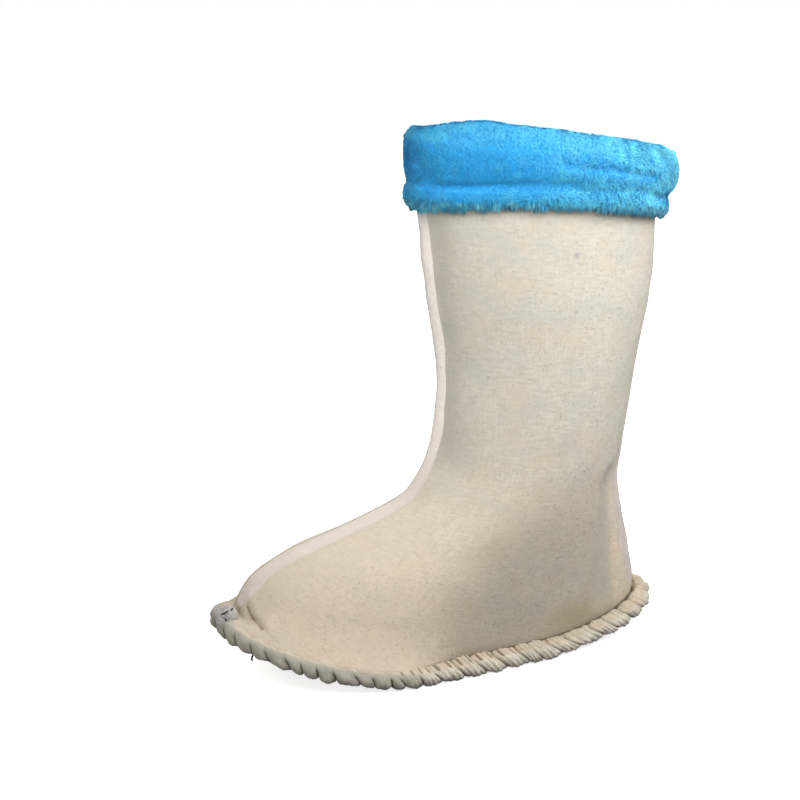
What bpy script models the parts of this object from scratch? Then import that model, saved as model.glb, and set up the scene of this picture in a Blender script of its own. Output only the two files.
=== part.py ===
"""Felt inner boot of a winter boot, left foot, standing empty on its sole.

Two felt panels make one hollow upper, closed by raised seam bands at the front and back. A felt sole is
overcast to it all round with a thick edge roll, and the plush lining is turned over the rim as a cuff.
Metres, +X to the toe, +Y to the boot's left (outer) side, +Z up, origin on the floor under the sole.
"""

from collections import namedtuple

import bmesh
import bpy
import numpy as np

MM = 0.001
UP = np.array([0.0, 0.0, 1.0])

# Driving sizes of the foot part
LENGTH = 284 * MM
TOE_SPRING = 28.8 * MM
TOE_BLUNT = 4.0 * MM
BLUNT_START = 0.80
HEEL_CURL = 12.5 * MM
SPRING_START = 0.60
CURL_END = 0.30
LIFT_POWER = 1.6
TIP_ROUNDNESS = 3.2

# Driving sizes of the felt, the roll and the fit between pieces
WALL = 3.0 * MM
SOLE_THICKNESS = 5.0 * MM
INSOLE_THICKNESS = 5.0 * MM
INSOLE_CLEAR = 1.0 * MM
INSOLE_ROUND = 3.0 * MM
INSOLE_GAP = 0.6 * MM
ROLL_RADIUS = 6.0 * MM
EDGE_INSET = ROLL_RADIUS + 0.5 * MM
GROOVE_DEPTH = 1.7 * MM
BULGE_POWER = 0.7
STITCH_PITCH = 12.5 * MM
STITCH_SLANT = 3.6 * MM
SEAM_BAND_THICKNESS = 1.5 * MM
SEAM_BAND_GAP = 0.7 * MM
SEAM_BAND_ROWS = (-1.0, -0.45, 0.0, 0.45, 1.0)

# Mesh fineness: steps round the boot, between two sections, and round and along the edge roll. Lines are
# traced in TRACE_STEPS, and a section's ridge is searched RIDGE_REACH radians to each side.
STEPS_ROUND = 44
STEPS_PER_SECTION = 2
CUFF_STEPS_ROUND = 66
ROLL_SIDES = 8
STEPS_PER_STITCH = 4
TRACE_STEPS = 1440
RIDGE_REACH = 0.9
WELD = 0.001 * MM

# Half-widths of the edge roll's centre line, before the rounding of heel and toe takes them in
Station = namedtuple("Station", "along outer inner")
OUTLINE = [
    Station(0.00, 39.0, 39.0),
    Station(0.15, 40.5, 40.0),
    Station(0.45, 47.0, 42.5),
    Station(0.70, 54.0, 52.0),
    Station(0.88, 52.0, 52.0),
    Station(1.00, 47.0, 47.0),
]

# Sections of the upper from the sole edge to the rim, in millimetres. Each runs from the back ridge to the
# front ridge. wall scales the sole outline, half_width is the oval's, oval blends from the first to the
# second, ridge is how sharp the oval's ends are (0.5 round, 1 pointed), and dip is the share of the sole
# edge's own rise and fall that the section keeps.
Section = namedtuple("Section", "back_x back_z front_x front_z wall half_width oval ridge dip")
SECTIONS = [
    Section(-129.5, 18.8, 125.5, 35.1, 1.00, 46.0, 0.00, 0.70, 1.00),
    Section(-130.5, 28.0, 123.5, 43.2, 1.02, 46.0, 0.02, 0.70, 0.95),
    Section(-128.2, 42.0, 115.5, 56.2, 1.02, 44.0, 0.16, 0.70, 0.80),
    Section(-125.0, 58.0, 91.0, 71.8, 1.00, 42.0, 0.42, 0.70, 0.58),
    Section(-121.2, 75.0, 55.0, 83.3, 0.95, 41.0, 0.72, 0.70, 0.34),
    Section(-116.8, 96.0, 22.0, 97.3, 0.92, 41.0, 0.94, 0.69, 0.12),
    Section(-118.6, 112.0, 7.0, 121.0, 0.90, 41.5, 1.00, 0.68, 0.02),
    Section(-122.8, 138.0, 2.4, 145.0, 0.90, 43.0, 1.00, 0.67, 0.00),
    Section(-128.4, 172.0, 0.8, 172.0, 0.90, 45.0, 1.00, 0.66, 0.00),
    Section(-134.0, 214.0, 7.0, 218.0, 0.90, 47.5, 1.00, 0.64, 0.00),
    Section(-135.5, 252.0, 12.0, 264.0, 0.90, 48.5, 1.00, 0.60, 0.00),
    Section(-135.5, 288.0, 14.0, 301.0, 0.90, 48.5, 1.00, 0.56, 0.00),
]
RIM = len(SECTIONS) - 1
CUFF_EDGE = RIM - 1
BAND_START = 0.62
BAND_END = CUFF_EDGE - 0.10
BAND_LEAST_STEP = 0.2
CUFF_FACES_LEVEL = RIM - 0.1

# Seam bands by level, in millimetres: width, and how far the middle lies off the ridge to the outer side. Both
# spread out over the foot and slip to the outer side there, the back seam most.
BandSize = namedtuple("BandSize", "level width aside")
FRONT_BAND = [
    BandSize(BAND_START, 17.0, 3.8),
    BandSize(3.0, 16.0, 3.6),
    BandSize(4.5, 15.0, 3.0),
    BandSize(6.0, 14.5, 0.5),
    BandSize(BAND_END, 13.5, 0.0),
]
BACK_BAND = [
    BandSize(BAND_START, 23.0, 11.0),
    BandSize(4.0, 21.0, 10.0),
    BandSize(6.0, 15.0, 3.0),
    BandSize(BAND_END, 13.5, 0.0),
]

# Cross-section of the sole from its middle line out to its edge: share of the way, and of the edge's rise
SoleRing = namedtuple("SoleRing", "out rise")
SOLE_RINGS = [
    SoleRing(0.0, 0.0),
    SoleRing(0.42, 0.0),
    SoleRing(0.68, 0.30),
    SoleRing(0.86, 0.72),
    SoleRing(1.0, 1.0),
]
SPINE_HEEL = 0.17
SPINE_TOE = 0.80
SPINE_TOE_FLAT = 0.71
SPINE_TOE_RISE = 4.0 * MM

# Outline of the plush cuff cut across, as a loop: share of the skirt's depth below the rim, and distance
# out from the felt's outer face at the back and at the front, in millimetres. It hooks over the rim and
# hangs as a hemmed skirt.
CuffPoint = namedtuple("CuffPoint", "down back front")
CUFF_LOOP = [
    CuffPoint(0.36, -3.5, -3.5),
    CuffPoint(0.36, -7.5, -7.5),
    CuffPoint(0.12, -9.5, -9.5),
    CuffPoint(-0.14, -7.5, -7.5),
    CuffPoint(-0.25, -1.5, -1.5),
    CuffPoint(-0.20, 5.5, 4.0),
    CuffPoint(-0.05, 10.5, 7.4),
    CuffPoint(0.20, 13.0, 8.6),
    CuffPoint(0.45, 12.4, 8.6),
    CuffPoint(0.62, 10.0, 7.6),
    CuffPoint(0.72, 9.4, 8.4),
    CuffPoint(0.88, 8.6, 8.6),
    CuffPoint(1.03, 5.5, 6.0),
    CuffPoint(1.03, 1.6, 1.6),
    CuffPoint(0.95, 0.5, 0.5),
    CuffPoint(0.40, 0.5, 0.5),
    CuffPoint(-0.02, 0.5, 0.5),
    CuffPoint(-0.02, -3.5, -3.5),
]
FRINGE_ROWS = (12, 13)
FRINGE_DEPTH = 0.05
FRINGE_TURN = 2.4
CUFF_HANG = 0.95
CUFF_SIDE_RISE = 0.22
CREST_BEGINS = -0.1

# How far the fold over the rim is pulled up along the outer side, as a share of the skirt's depth
CrestPoint = namedtuple("CrestPoint", "along rise")
OUTER_CREST = [
    CrestPoint(0.00, 0.00),
    CrestPoint(0.25, 0.11),
    CrestPoint(0.45, 0.14),
    CrestPoint(0.62, 0.20),
    CrestPoint(0.80, 0.20),
    CrestPoint(1.00, 0.00),
]


def curve_through(knots, values, at):
    """A smooth curve through the knots that never overshoots them (monotone cubic)."""
    knots, values, at = (np.asarray(a, float) for a in (knots, values, at))
    step = np.diff(knots)
    slope = np.diff(values) / step
    tangent = np.zeros(len(knots))
    same_way = slope[:-1] * slope[1:] > 0
    harmonic = 2 * slope[:-1] * slope[1:] / np.where(same_way, slope[:-1] + slope[1:], 1)
    tangent[1:-1] = np.where(same_way, harmonic, 0)
    tangent[0], tangent[-1] = slope[0], slope[-1]
    i = np.clip(np.searchsorted(knots, at, side="right") - 1, 0, len(step) - 1)
    u = (at - knots[i]) / step[i]
    rise = (3 - 2 * u) * u**2
    lean = u * (1 - u) * (tangent[i] * (1 - u) - tangent[i + 1] * u) * step[i]
    return values[i] + (values[i + 1] - values[i]) * rise + lean


def along(angle):
    """Share of the length from heel (0) to toe (1) at an angle round the boot. The outer side is 0 to pi."""
    return (1 - np.cos(angle)) / 2


def mix(start, end, share):
    return start + (end - start) * share


def edge_lift(share):
    """Rise of the sole's edge off the floor: the toe springs up and the heel curls up."""
    toe = np.clip((share - SPRING_START) / (1 - SPRING_START), 0, None) ** LIFT_POWER
    heel = np.clip((CURL_END - share) / CURL_END, 0, None) ** LIFT_POWER
    return TOE_SPRING * toe + HEEL_CURL * heel


def roll_centre(angle):
    """Centre line of the edge roll, the boot's outline on the floor."""
    share = along(angle)
    knots = [row.along for row in OUTLINE]
    outer = curve_through(knots, [row.outer for row in OUTLINE], share)
    inner = curve_through(knots, [row.inner for row in OUTLINE], share)
    half = np.where(np.sin(angle) >= 0, outer, inner) * MM
    rounding = np.sqrt(np.clip(1 - np.abs(np.cos(angle)) ** TIP_ROUNDNESS, 0, None))
    blunt = np.clip((share - BLUNT_START) / (1 - BLUNT_START), 0, None) ** 2
    x = -(LENGTH / 2 - ROLL_RADIUS) * np.cos(angle) - TOE_BLUNT * blunt
    y = half * rounding * np.sign(np.sin(angle))
    return np.stack([x, y, ROLL_RADIUS + edge_lift(share)], axis=-1)


def roll_outward(angle):
    """Level direction that points out of the boot, square to the edge roll."""
    step = 0.02
    run = roll_centre(angle + step) - roll_centre(angle - step)
    out = np.stack([-run[..., 1], run[..., 0], 0 * run[..., 0]], axis=-1)
    return out / np.linalg.norm(out, axis=-1, keepdims=True)


def inset_edge(angle, distance):
    """The outline taken in by a distance from the roll's centre line."""
    return roll_centre(angle) - distance * roll_outward(angle)


def section_at(level):
    """The section at a level, counted in rows of the table, with smooth sizes in between."""
    rows = np.array(SECTIONS)
    columns = [curve_through(np.arange(len(rows)), column, level) for column in rows.T]
    return Section(*columns)


def upper_surface(level, angle):
    """Outer face of the felt upper at a level and an angle round the boot."""
    row = section_at(level)
    share = along(angle)
    edge = inset_edge(angle, EDGE_INSET)
    heel = inset_edge(0.0, EDGE_INSET)
    toe = inset_edge(np.pi, EDGE_INSET)
    keep = row.dip
    x = mix(row.back_x, row.front_x, share) * MM
    x = x + keep * (edge[..., 0] - mix(heel[0], toe[0], share))
    z = mix(row.back_z, row.front_z, share) * MM
    z = z + keep * (edge[..., 2] - mix(heel[2], toe[2], share))
    lens = np.sin(np.pi * share) ** row.ridge * np.sign(np.sin(angle))
    y = mix(row.wall * edge[..., 1], row.half_width * MM * lens, row.oval)
    return np.stack([x + 0 * y, y, z + 0 * y], axis=-1)


def upper_outward(level, angle):
    """Direction out of the felt, square to the upper's surface."""
    turn = 0.06
    climb = 0.05
    low = np.clip(np.asarray(level) - climb, 0, RIM)
    high = np.clip(np.asarray(level) + climb, 0, RIM)
    round_run = upper_surface(level, angle + turn) - upper_surface(level, angle - turn)
    up_run = upper_surface(high, angle) - upper_surface(low, angle)
    out = np.cross(up_run, round_run)
    return out / np.linalg.norm(out, axis=-1, keepdims=True)


def angles_round(count):
    return np.arange(count) * 2 * np.pi / count


def felt_material(name, colour, roughness):
    material = bpy.data.materials.new(name)
    material.use_nodes = True
    shader = material.node_tree.nodes["Principled BSDF"]
    shader.inputs["Base Color"].default_value = (*colour, 1.0)
    shader.inputs["Roughness"].default_value = roughness
    shader.inputs["Metallic"].default_value = 0.0
    return material


def skin(name, rings, material, joined=False, open_strip=False):
    """Lofts a mesh object through rings of points, each closed. joined closes the last ring to the first,
    and open_strip caps the two end rings with a face."""
    rings = np.asarray(rings)
    rows, count = rings.shape[:2]
    mesh = bpy.data.meshes.new(name)
    build = bmesh.new()
    grid = [[build.verts.new(point) for point in ring] for ring in rings]
    for row in range(rows if joined else rows - 1):
        lower, upper = grid[row], grid[(row + 1) % rows]
        for i in range(count):
            j = (i + 1) % count
            build.faces.new((lower[i], lower[j], upper[j], upper[i]))
    if open_strip:
        build.faces.new(grid[0][::-1])
        build.faces.new(grid[-1])
    bmesh.ops.remove_doubles(build, verts=build.verts, dist=WELD)
    bmesh.ops.recalc_face_normals(build, faces=build.faces)
    build.to_mesh(mesh)
    build.free()
    mesh.shade_smooth()
    mesh.materials.append(material)
    return bpy.data.objects.new(name, mesh)


def sole_surface(angle, ring, inset):
    """Underside of the sole on one ring between its middle line and its edge."""
    share = along(angle)
    edge = inset_edge(angle, inset)
    edge_rise = edge[:, 2] - SOLE_THICKNESS
    spine_share = np.clip(share, SPINE_HEEL, SPINE_TOE)
    spine_x = mix(-1.0, 1.0, spine_share) * (LENGTH / 2 - ROLL_RADIUS)
    toe_part = np.clip((spine_share - SPINE_TOE_FLAT) / (SPINE_TOE - SPINE_TOE_FLAT), 0, 1)
    spine_z = SPINE_TOE_RISE * toe_part**2
    x = mix(spine_x, edge[:, 0], ring.out)
    y = edge[:, 1] * ring.out
    z = mix(spine_z, edge_rise, ring.rise)
    return np.stack([x, y, z], axis=-1)


def raised(points, height):
    return points + height * UP


def make_outsole(material):
    angle = angles_round(STEPS_ROUND)
    under = [sole_surface(angle, ring, EDGE_INSET) for ring in SOLE_RINGS]
    over = [raised(ring, SOLE_THICKNESS) for ring in under[::-1]]
    return skin("outsole", under + over, material)


def make_insole(material):
    """A footbed that follows the sole's upper face, clear of the felt wall, its top edge rounded in."""
    angle = angles_round(STEPS_ROUND)
    inset = EDGE_INSET + WALL + INSOLE_CLEAR
    bed = SOLE_THICKNESS + INSOLE_GAP
    under = [raised(sole_surface(angle, ring, inset), bed) for ring in SOLE_RINGS]
    top = bed + INSOLE_THICKNESS
    over = [raised(sole_surface(angle, ring, inset + INSOLE_ROUND), top) for ring in SOLE_RINGS[::-1]]
    return skin("insole", under + over, material)


def make_upper(material):
    """The open outer face of the felt, given its wall by Solidify towards the inside."""
    angle = angles_round(STEPS_ROUND)
    levels = np.linspace(0, RIM, RIM * STEPS_PER_SECTION + 1)
    upper = skin("upper", [upper_surface(level, angle) for level in levels], material)
    wall = upper.modifiers.new("felt_wall", "SOLIDIFY")
    wall.thickness = WALL
    wall.offset = -1.0
    wall.use_even_offset = True
    return upper


def ridge_angles(level, ridge, offsets):
    """Angles at which a section lies the given distances from its front or back ridge."""
    reach = np.linspace(-RIDGE_REACH, RIDGE_REACH, TRACE_STEPS + 1)
    line = upper_surface(level, ridge + reach)
    run = np.concatenate([[0], np.cumsum(np.linalg.norm(np.diff(line, axis=0), axis=1))])
    run = run - run[len(run) // 2]
    return ridge + np.interp(offsets, run, reach)


def make_seam_band(name, ridge, sizes, material):
    """A flat band laid along a ridge of the upper, from just above the edge roll up to the cuff."""
    knots, widths, asides = np.array(sizes).T
    climbs = np.arange(1, CUFF_EDGE * STEPS_PER_SECTION) / STEPS_PER_SECTION
    levels = [BAND_START, *climbs[climbs > BAND_START + BAND_LEAST_STEP], BAND_END]
    outer_way = np.cos(ridge)
    rings = []
    for level in levels:
        width = curve_through(knots, widths, level) * MM
        aside = curve_through(knots, asides, level) * MM * outer_way
        angle = ridge_angles(level, ridge, aside + np.array(SEAM_BAND_ROWS) * width / 2)
        face = upper_surface(level, angle)
        out = upper_outward(level, angle)
        under = face + SEAM_BAND_GAP * out
        over = under + SEAM_BAND_THICKNESS * out
        rings.append(np.concatenate([under, over[::-1]]))
    return skin(name, rings, material, open_strip=True)


def make_edge_roll(material):
    """A rope-like overcast edge: bulges between slanted grooves, a whole number of stitches all round."""
    fine = np.linspace(0, 2 * np.pi, TRACE_STEPS + 1)
    line = roll_centre(fine)
    run = np.concatenate([[0], np.cumsum(np.linalg.norm(np.diff(line, axis=0), axis=1))])
    stitches = round(run[-1] / STITCH_PITCH)
    steps = stitches * STEPS_PER_STITCH
    sides = angles_round(ROLL_SIDES)
    rings = []
    for step in range(steps):
        phase = step % STEPS_PER_STITCH / STEPS_PER_STITCH
        groove = GROOVE_DEPTH * (1 - np.sin(np.pi * phase) ** BULGE_POWER)
        radius = ROLL_RADIUS - groove * np.clip(1 + np.cos(sides), 0, 1)
        place = run[-1] * step / steps + STITCH_SLANT * np.sin(sides)
        angle = np.interp(place % run[-1], run, fine)
        ring = roll_centre(angle) + (radius * np.cos(sides))[:, None] * roll_outward(angle)
        rings.append(ring + (radius * np.sin(sides))[:, None] * UP)
    return skin("edge_roll", rings, material, joined=True)


def cuff_base(down, angle):
    """A point on the felt at a share of the skirt's depth below the rim, or straight on above the rim."""
    below = np.clip(down, 0, None)
    above = np.clip(-down, 0, None)
    on_felt = upper_surface(RIM - below, angle)
    climb = upper_surface(RIM, angle) - upper_surface(RIM - 1, angle)
    return on_felt + above[..., None] * climb


def make_cuff(material):
    """The plush ring: its skirt is shorter along the sides, its fold stands higher along the outer side, and
    its lower edge hangs in uneven locks."""
    angle = angles_round(CUFF_STEPS_ROUND)
    share = along(angle)
    side = np.sin(np.pi * share)
    knots, rises = np.array(OUTER_CREST).T
    crest = np.where(np.sin(angle) > 0, curve_through(knots, rises, share), 0)
    lock = FRINGE_DEPTH * np.sin(FRINGE_TURN * np.arange(CUFF_STEPS_ROUND))
    out = upper_outward(CUFF_FACES_LEVEL, angle)
    rings = []
    for row, point in enumerate(CUFF_LOOP):
        down = np.full_like(angle, point.down)
        if point.down < CREST_BEGINS:
            down = down - crest
        elif point.back > 0:
            down = down * (CUFF_HANG - CUFF_SIDE_RISE * side)
        if row in FRINGE_ROWS:
            down = down + lock
        reach = mix(point.back, point.front, share) * MM
        rings.append(cuff_base(down, angle) + reach[:, None] * out)
    return skin("cuff", rings, material, joined=True)


for old in list(bpy.data.objects):
    bpy.data.objects.remove(old)

felt = felt_material("felt_cream", (0.66, 0.60, 0.50), 0.95)
sole_felt = felt_material("felt_sole", (0.55, 0.48, 0.38), 0.95)
edge_felt = felt_material("felt_edge", (0.50, 0.44, 0.34), 0.95)
seam_felt = felt_material("felt_seam", (0.78, 0.72, 0.64), 0.95)
plush = felt_material("plush_blue", (0.05, 0.38, 0.72), 0.9)

pieces = [
    make_outsole(sole_felt),
    make_insole(plush),
    make_upper(felt),
    make_edge_roll(edge_felt),
    make_seam_band("front_seam_band", np.pi, FRONT_BAND, seam_felt),
    make_seam_band("back_seam_band", 0.0, BACK_BAND, seam_felt),
    make_cuff(plush),
]

boot = bpy.data.collections.new("felt_inner_boot")
bpy.context.scene.collection.children.link(boot)
stand = bpy.data.objects.new("boot_stand", None)
boot.objects.link(stand)
for piece in pieces:
    boot.objects.link(piece)
    piece.parent = stand
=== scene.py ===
"""The looks of a felt inner boot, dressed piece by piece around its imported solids.

Metres, +X to the toe, +Y to the boot's left (outer) side, +Z up, origin on the floor under the sole.
"""

from collections import namedtuple

import bmesh
import bpy
import numpy as np
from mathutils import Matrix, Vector


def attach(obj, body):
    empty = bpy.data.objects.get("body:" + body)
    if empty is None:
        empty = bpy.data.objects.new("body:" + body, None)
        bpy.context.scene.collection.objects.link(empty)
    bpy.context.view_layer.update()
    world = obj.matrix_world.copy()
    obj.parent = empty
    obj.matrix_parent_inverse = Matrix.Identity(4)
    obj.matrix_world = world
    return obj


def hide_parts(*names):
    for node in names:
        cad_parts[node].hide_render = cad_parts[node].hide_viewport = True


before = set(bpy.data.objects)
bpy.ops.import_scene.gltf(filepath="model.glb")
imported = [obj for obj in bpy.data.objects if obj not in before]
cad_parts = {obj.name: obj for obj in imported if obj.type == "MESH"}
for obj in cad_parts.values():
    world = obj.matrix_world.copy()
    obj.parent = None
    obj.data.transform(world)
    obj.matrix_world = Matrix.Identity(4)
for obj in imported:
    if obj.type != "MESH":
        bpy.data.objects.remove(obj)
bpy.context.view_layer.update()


# Outsole
# A flat sole of pressed felt, cut to the foot's outline, sprung up at the toe and curled up at the heel.
# The overcast roll grips its edge all round and joins it to the upper.
MM = 0.001
UP = np.array([0.0, 0.0, 1.0])
LENGTH = 284 * MM
TOE_SPRING = 28.8 * MM
TOE_BLUNT = 4.0 * MM
BLUNT_START = 0.80
HEEL_CURL = 12.5 * MM
SPRING_START = 0.60
CURL_END = 0.30
LIFT_POWER = 1.6
TIP_ROUNDNESS = 3.2
SOLE_THICKNESS = 5.0 * MM
ROLL_RADIUS = 6.0 * MM
EDGE_INSET = ROLL_RADIUS + 0.5 * MM
SPINE_HEEL = 0.17
SPINE_TOE = 0.80
SPINE_TOE_FLAT = 0.71
SPINE_TOE_RISE = 4.0 * MM
SOLE_COLUMNS = 160
SOLE_RING_STEPS = 18
SOLE_SWELL = 0.25 * MM
SOLE_SWELL_SIZE = 30 * MM

Station = namedtuple("Station", "along outer inner")
OUTLINE = [
    Station(0.00, 39.0, 39.0),
    Station(0.15, 40.5, 40.0),
    Station(0.45, 47.0, 42.5),
    Station(0.70, 54.0, 52.0),
    Station(0.88, 52.0, 52.0),
    Station(1.00, 47.0, 47.0),
]
SoleRing = namedtuple("SoleRing", "out rise")
SOLE_RINGS = [
    SoleRing(0.0, 0.0),
    SoleRing(0.42, 0.0),
    SoleRing(0.68, 0.30),
    SoleRing(0.86, 0.72),
    SoleRing(1.0, 1.0),
]


def curve_through(knots, values, at):
    """A smooth curve through the knots that never overshoots them (monotone cubic)."""
    knots, values, at = (np.asarray(a, float) for a in (knots, values, at))
    step = np.diff(knots)
    slope = np.diff(values) / step
    tangent = np.zeros(len(knots))
    same_way = slope[:-1] * slope[1:] > 0
    harmonic = 2 * slope[:-1] * slope[1:] / np.where(same_way, slope[:-1] + slope[1:], 1)
    tangent[1:-1] = np.where(same_way, harmonic, 0)
    tangent[0], tangent[-1] = slope[0], slope[-1]
    i = np.clip(np.searchsorted(knots, at, side="right") - 1, 0, len(step) - 1)
    u = (at - knots[i]) / step[i]
    rise = (3 - 2 * u) * u**2
    lean = u * (1 - u) * (tangent[i] * (1 - u) - tangent[i + 1] * u) * step[i]
    return values[i] + (values[i + 1] - values[i]) * rise + lean


def mix(start, end, share):
    return start + (end - start) * share


def smooth_step(low, high, value):
    """0 below low, 1 above high, with a soft ramp between."""
    share = np.clip((value - low) / (high - low), 0, 1)
    return share * share * (3 - 2 * share)


def unit(vectors):
    return vectors / np.linalg.norm(vectors, axis=-1, keepdims=True)


def along(angle):
    """Share of the length, heel 0 to toe 1, at an angle round the boot. The outer side is 0 to pi."""
    return (1 - np.cos(angle)) / 2


def angles_round(count):
    return np.arange(count) * 2 * np.pi / count


def edge_lift(share):
    """Rise of the sole's edge off the floor: the toe springs up and the heel curls up."""
    toe = np.clip((share - SPRING_START) / (1 - SPRING_START), 0, None) ** LIFT_POWER
    heel = np.clip((CURL_END - share) / CURL_END, 0, None) ** LIFT_POWER
    return TOE_SPRING * toe + HEEL_CURL * heel


def roll_centre(angle):
    """Centre line of the overcast roll, the boot's outline on the floor."""
    share = along(angle)
    knots = [row.along for row in OUTLINE]
    outer = curve_through(knots, [row.outer for row in OUTLINE], share)
    inner = curve_through(knots, [row.inner for row in OUTLINE], share)
    half = np.where(np.sin(angle) >= 0, outer, inner) * MM
    rounding = np.sqrt(np.clip(1 - np.abs(np.cos(angle)) ** TIP_ROUNDNESS, 0, None))
    blunt = np.clip((share - BLUNT_START) / (1 - BLUNT_START), 0, None) ** 2
    x = -(LENGTH / 2 - ROLL_RADIUS) * np.cos(angle) - TOE_BLUNT * blunt
    y = half * rounding * np.sign(np.sin(angle))
    return np.stack([x, y, ROLL_RADIUS + edge_lift(share)], axis=-1)


def roll_outward(angle):
    """Level direction that points out of the boot, square to the roll."""
    step = 0.02
    run = roll_centre(angle + step) - roll_centre(angle - step)
    return unit(np.stack([-run[..., 1], run[..., 0], 0 * run[..., 0]], axis=-1))


def inset_edge(angle, distance):
    """The outline taken in by a distance from the roll's centre line."""
    return roll_centre(angle) - distance * roll_outward(angle)


def sole_surface(angle, out, inset):
    """Underside of the sole at a share of the way out from its middle line to its edge."""
    rise = curve_through([ring.out for ring in SOLE_RINGS], [ring.rise for ring in SOLE_RINGS], out)
    share = along(angle)
    edge = inset_edge(angle, inset)
    spine_share = np.clip(share, SPINE_HEEL, SPINE_TOE)
    spine_x = mix(-1.0, 1.0, spine_share) * (LENGTH / 2 - ROLL_RADIUS)
    toe_part = np.clip((spine_share - SPINE_TOE_FLAT) / (SPINE_TOE - SPINE_TOE_FLAT), 0, 1)
    spine_z = SPINE_TOE_RISE * toe_part**2
    x = mix(spine_x, edge[:, 0], out)
    z = mix(spine_z, edge[:, 2] - SOLE_THICKNESS, rise)
    return np.stack([x, edge[:, 1] * out, z], axis=-1)


def soft_swell(points, size, seed, waves=24):
    """A smooth random swell over points in space, about -1 to 1, with hills of about the given size."""
    draw = np.random.default_rng(seed)
    way = unit(draw.normal(size=(waves, 3))) * draw.uniform(0.6, 1.4, (waves, 1)) * np.pi / size
    phase = draw.uniform(0, 2 * np.pi, waves)
    return np.sin(points @ way.T + phase).sum(axis=-1) / np.sqrt(waves)


def placed(name, data):
    """A new object in the scene."""
    made = bpy.data.objects.new(name, data)
    bpy.context.scene.collection.objects.link(made)
    return made


def loft(name, rings, joined=False, capped=False, panels=False, second_from=None, marks=None):
    """A smooth mesh object through closed rings of points. joined closes the last ring to the first, and
    capped closes the two end rings. Its map named grain holds true distances round and along, in metres,
    with panels counted from the middle of each side. Rings from second_from on take the second material,
    and marks are named values at each point for a material to read."""
    rings = np.asarray(rings, float)
    rows, count = rings.shape[:2]
    last = rows if joined else rows - 1
    row, column = np.meshgrid(np.arange(last), np.arange(count), indexing="ij")
    above, beside = (row + 1) % rows, (column + 1) % count
    corners = [row * count + column, above * count + column, above * count + beside, row * count + beside]
    faces = np.stack(corners, axis=-1).reshape(-1, 4).tolist()
    round_steps = np.linalg.norm(np.diff(rings, axis=1, append=rings[:, :1]), axis=2)
    up_steps = np.linalg.norm(np.diff(rings, axis=0, append=rings[:1]), axis=2)
    u = np.pad(np.cumsum(round_steps, axis=1), ((0, 0), (1, 0)))
    v = np.pad(np.cumsum(up_steps, axis=0), ((1, 0), (0, 0)))
    if panels:
        half = count // 2
        u[:, :half] -= u[:, [half // 2]]
        u[:, half:] -= u[:, [half + half // 2]]
    u = np.concatenate([u, u[:1]])
    v = np.concatenate([v, v[:, :1]], axis=1)
    spots = np.stack([u, v], axis=-1)
    corner_spots = [spots[row + up, column + on] for up, on in ((0, 0), (1, 0), (1, 1), (0, 1))]
    grain = np.stack(corner_spots, axis=2).reshape(-1, 2)
    if capped:
        ends = [list(range(count))[::-1], list(range((rows - 1) * count, rows * count))]
        faces = faces + ends
        grain = np.concatenate([grain, spots[0, :-1][::-1], spots[rows - 1, :-1]])
    mesh = bpy.data.meshes.new(name)
    mesh.from_pydata(rings.reshape(-1, 3).tolist(), [], faces)
    mesh.uv_layers.new(name="grain").uv.foreach_set("vector", grain.astype(np.float32).ravel())
    if second_from is not None:
        mesh.polygons.foreach_set("material_index", (row >= second_from).astype(np.int32).ravel())
    for label, values in (marks or {}).items():
        stored = mesh.attributes.new(label, "FLOAT", "POINT")
        stored.data.foreach_set("value", np.asarray(values, np.float32).ravel())
    build = bmesh.new()
    build.from_mesh(mesh)
    bmesh.ops.remove_doubles(build, verts=build.verts, dist=0.001 * MM)
    bmesh.ops.recalc_face_normals(build, faces=build.faces)
    build.to_mesh(mesh)
    build.free()
    mesh.shade_smooth()
    return placed(name, mesh)


def add_node(tree, kind, sockets=(), **settings):
    """Adds a shader node with its settings, and its sockets' values or links."""
    made = tree.nodes.new(kind)
    for key, value in settings.items():
        setattr(made, key, value)
    for key, value in dict(sockets).items():
        if isinstance(value, bpy.types.NodeSocket):
            tree.links.new(value, made.inputs[key])
        else:
            made.inputs[key].default_value = value
    return made


def mixed(tree, share, start, end):
    """The socket of a colour mixed from two others by a share."""
    ends = [value if isinstance(value, bpy.types.NodeSocket) else (*value, 1.0) for value in (start, end)]
    node = add_node(tree, "ShaderNodeMix", {0: share, 6: ends[0], 7: ends[1]}, data_type="RGBA")
    return node.outputs[2]


def ramped(tree, value, low, high, start=0.0, end=1.0):
    """The socket of a soft ramp from start to end as the value goes from low to high."""
    limits = {"Value": value, "From Min": low, "From Max": high, "To Min": start, "To Max": end}
    return add_node(tree, "ShaderNodeMapRange", limits, interpolation_type="SMOOTHSTEP").outputs["Result"]


def sum_of(tree, first, first_share, second, second_share):
    """The socket of two values added up, each by its share."""
    scaled = add_node(tree, "ShaderNodeMath", {0: first, 1: first_share}, operation="MULTIPLY")
    both = {0: second, 1: second_share, 2: scaled.outputs[0]}
    return add_node(tree, "ShaderNodeMath", both, operation="MULTIPLY_ADD").outputs[0]


def vector_math(tree, operation, *values):
    """The socket of vectors worked on together. A distance, length or dot product is a plain value."""
    node = add_node(tree, "ShaderNodeVectorMath", enumerate(values), operation=operation)
    return node.outputs["Value" if operation in ("DISTANCE", "LENGTH", "DOT_PRODUCT") else "Vector"]


def tinted(tree, colour, tints, low, high):
    """The socket of a colour with tints laid over it, each where the mark of its name is strong."""
    for mark, tint, most in tints:
        share = add_node(tree, "ShaderNodeAttribute", attribute_name=mark).outputs["Fac"]
        colour = mixed(tree, ramped(tree, share, low, high, 0.0, most), colour, tint)
    return colour


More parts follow.
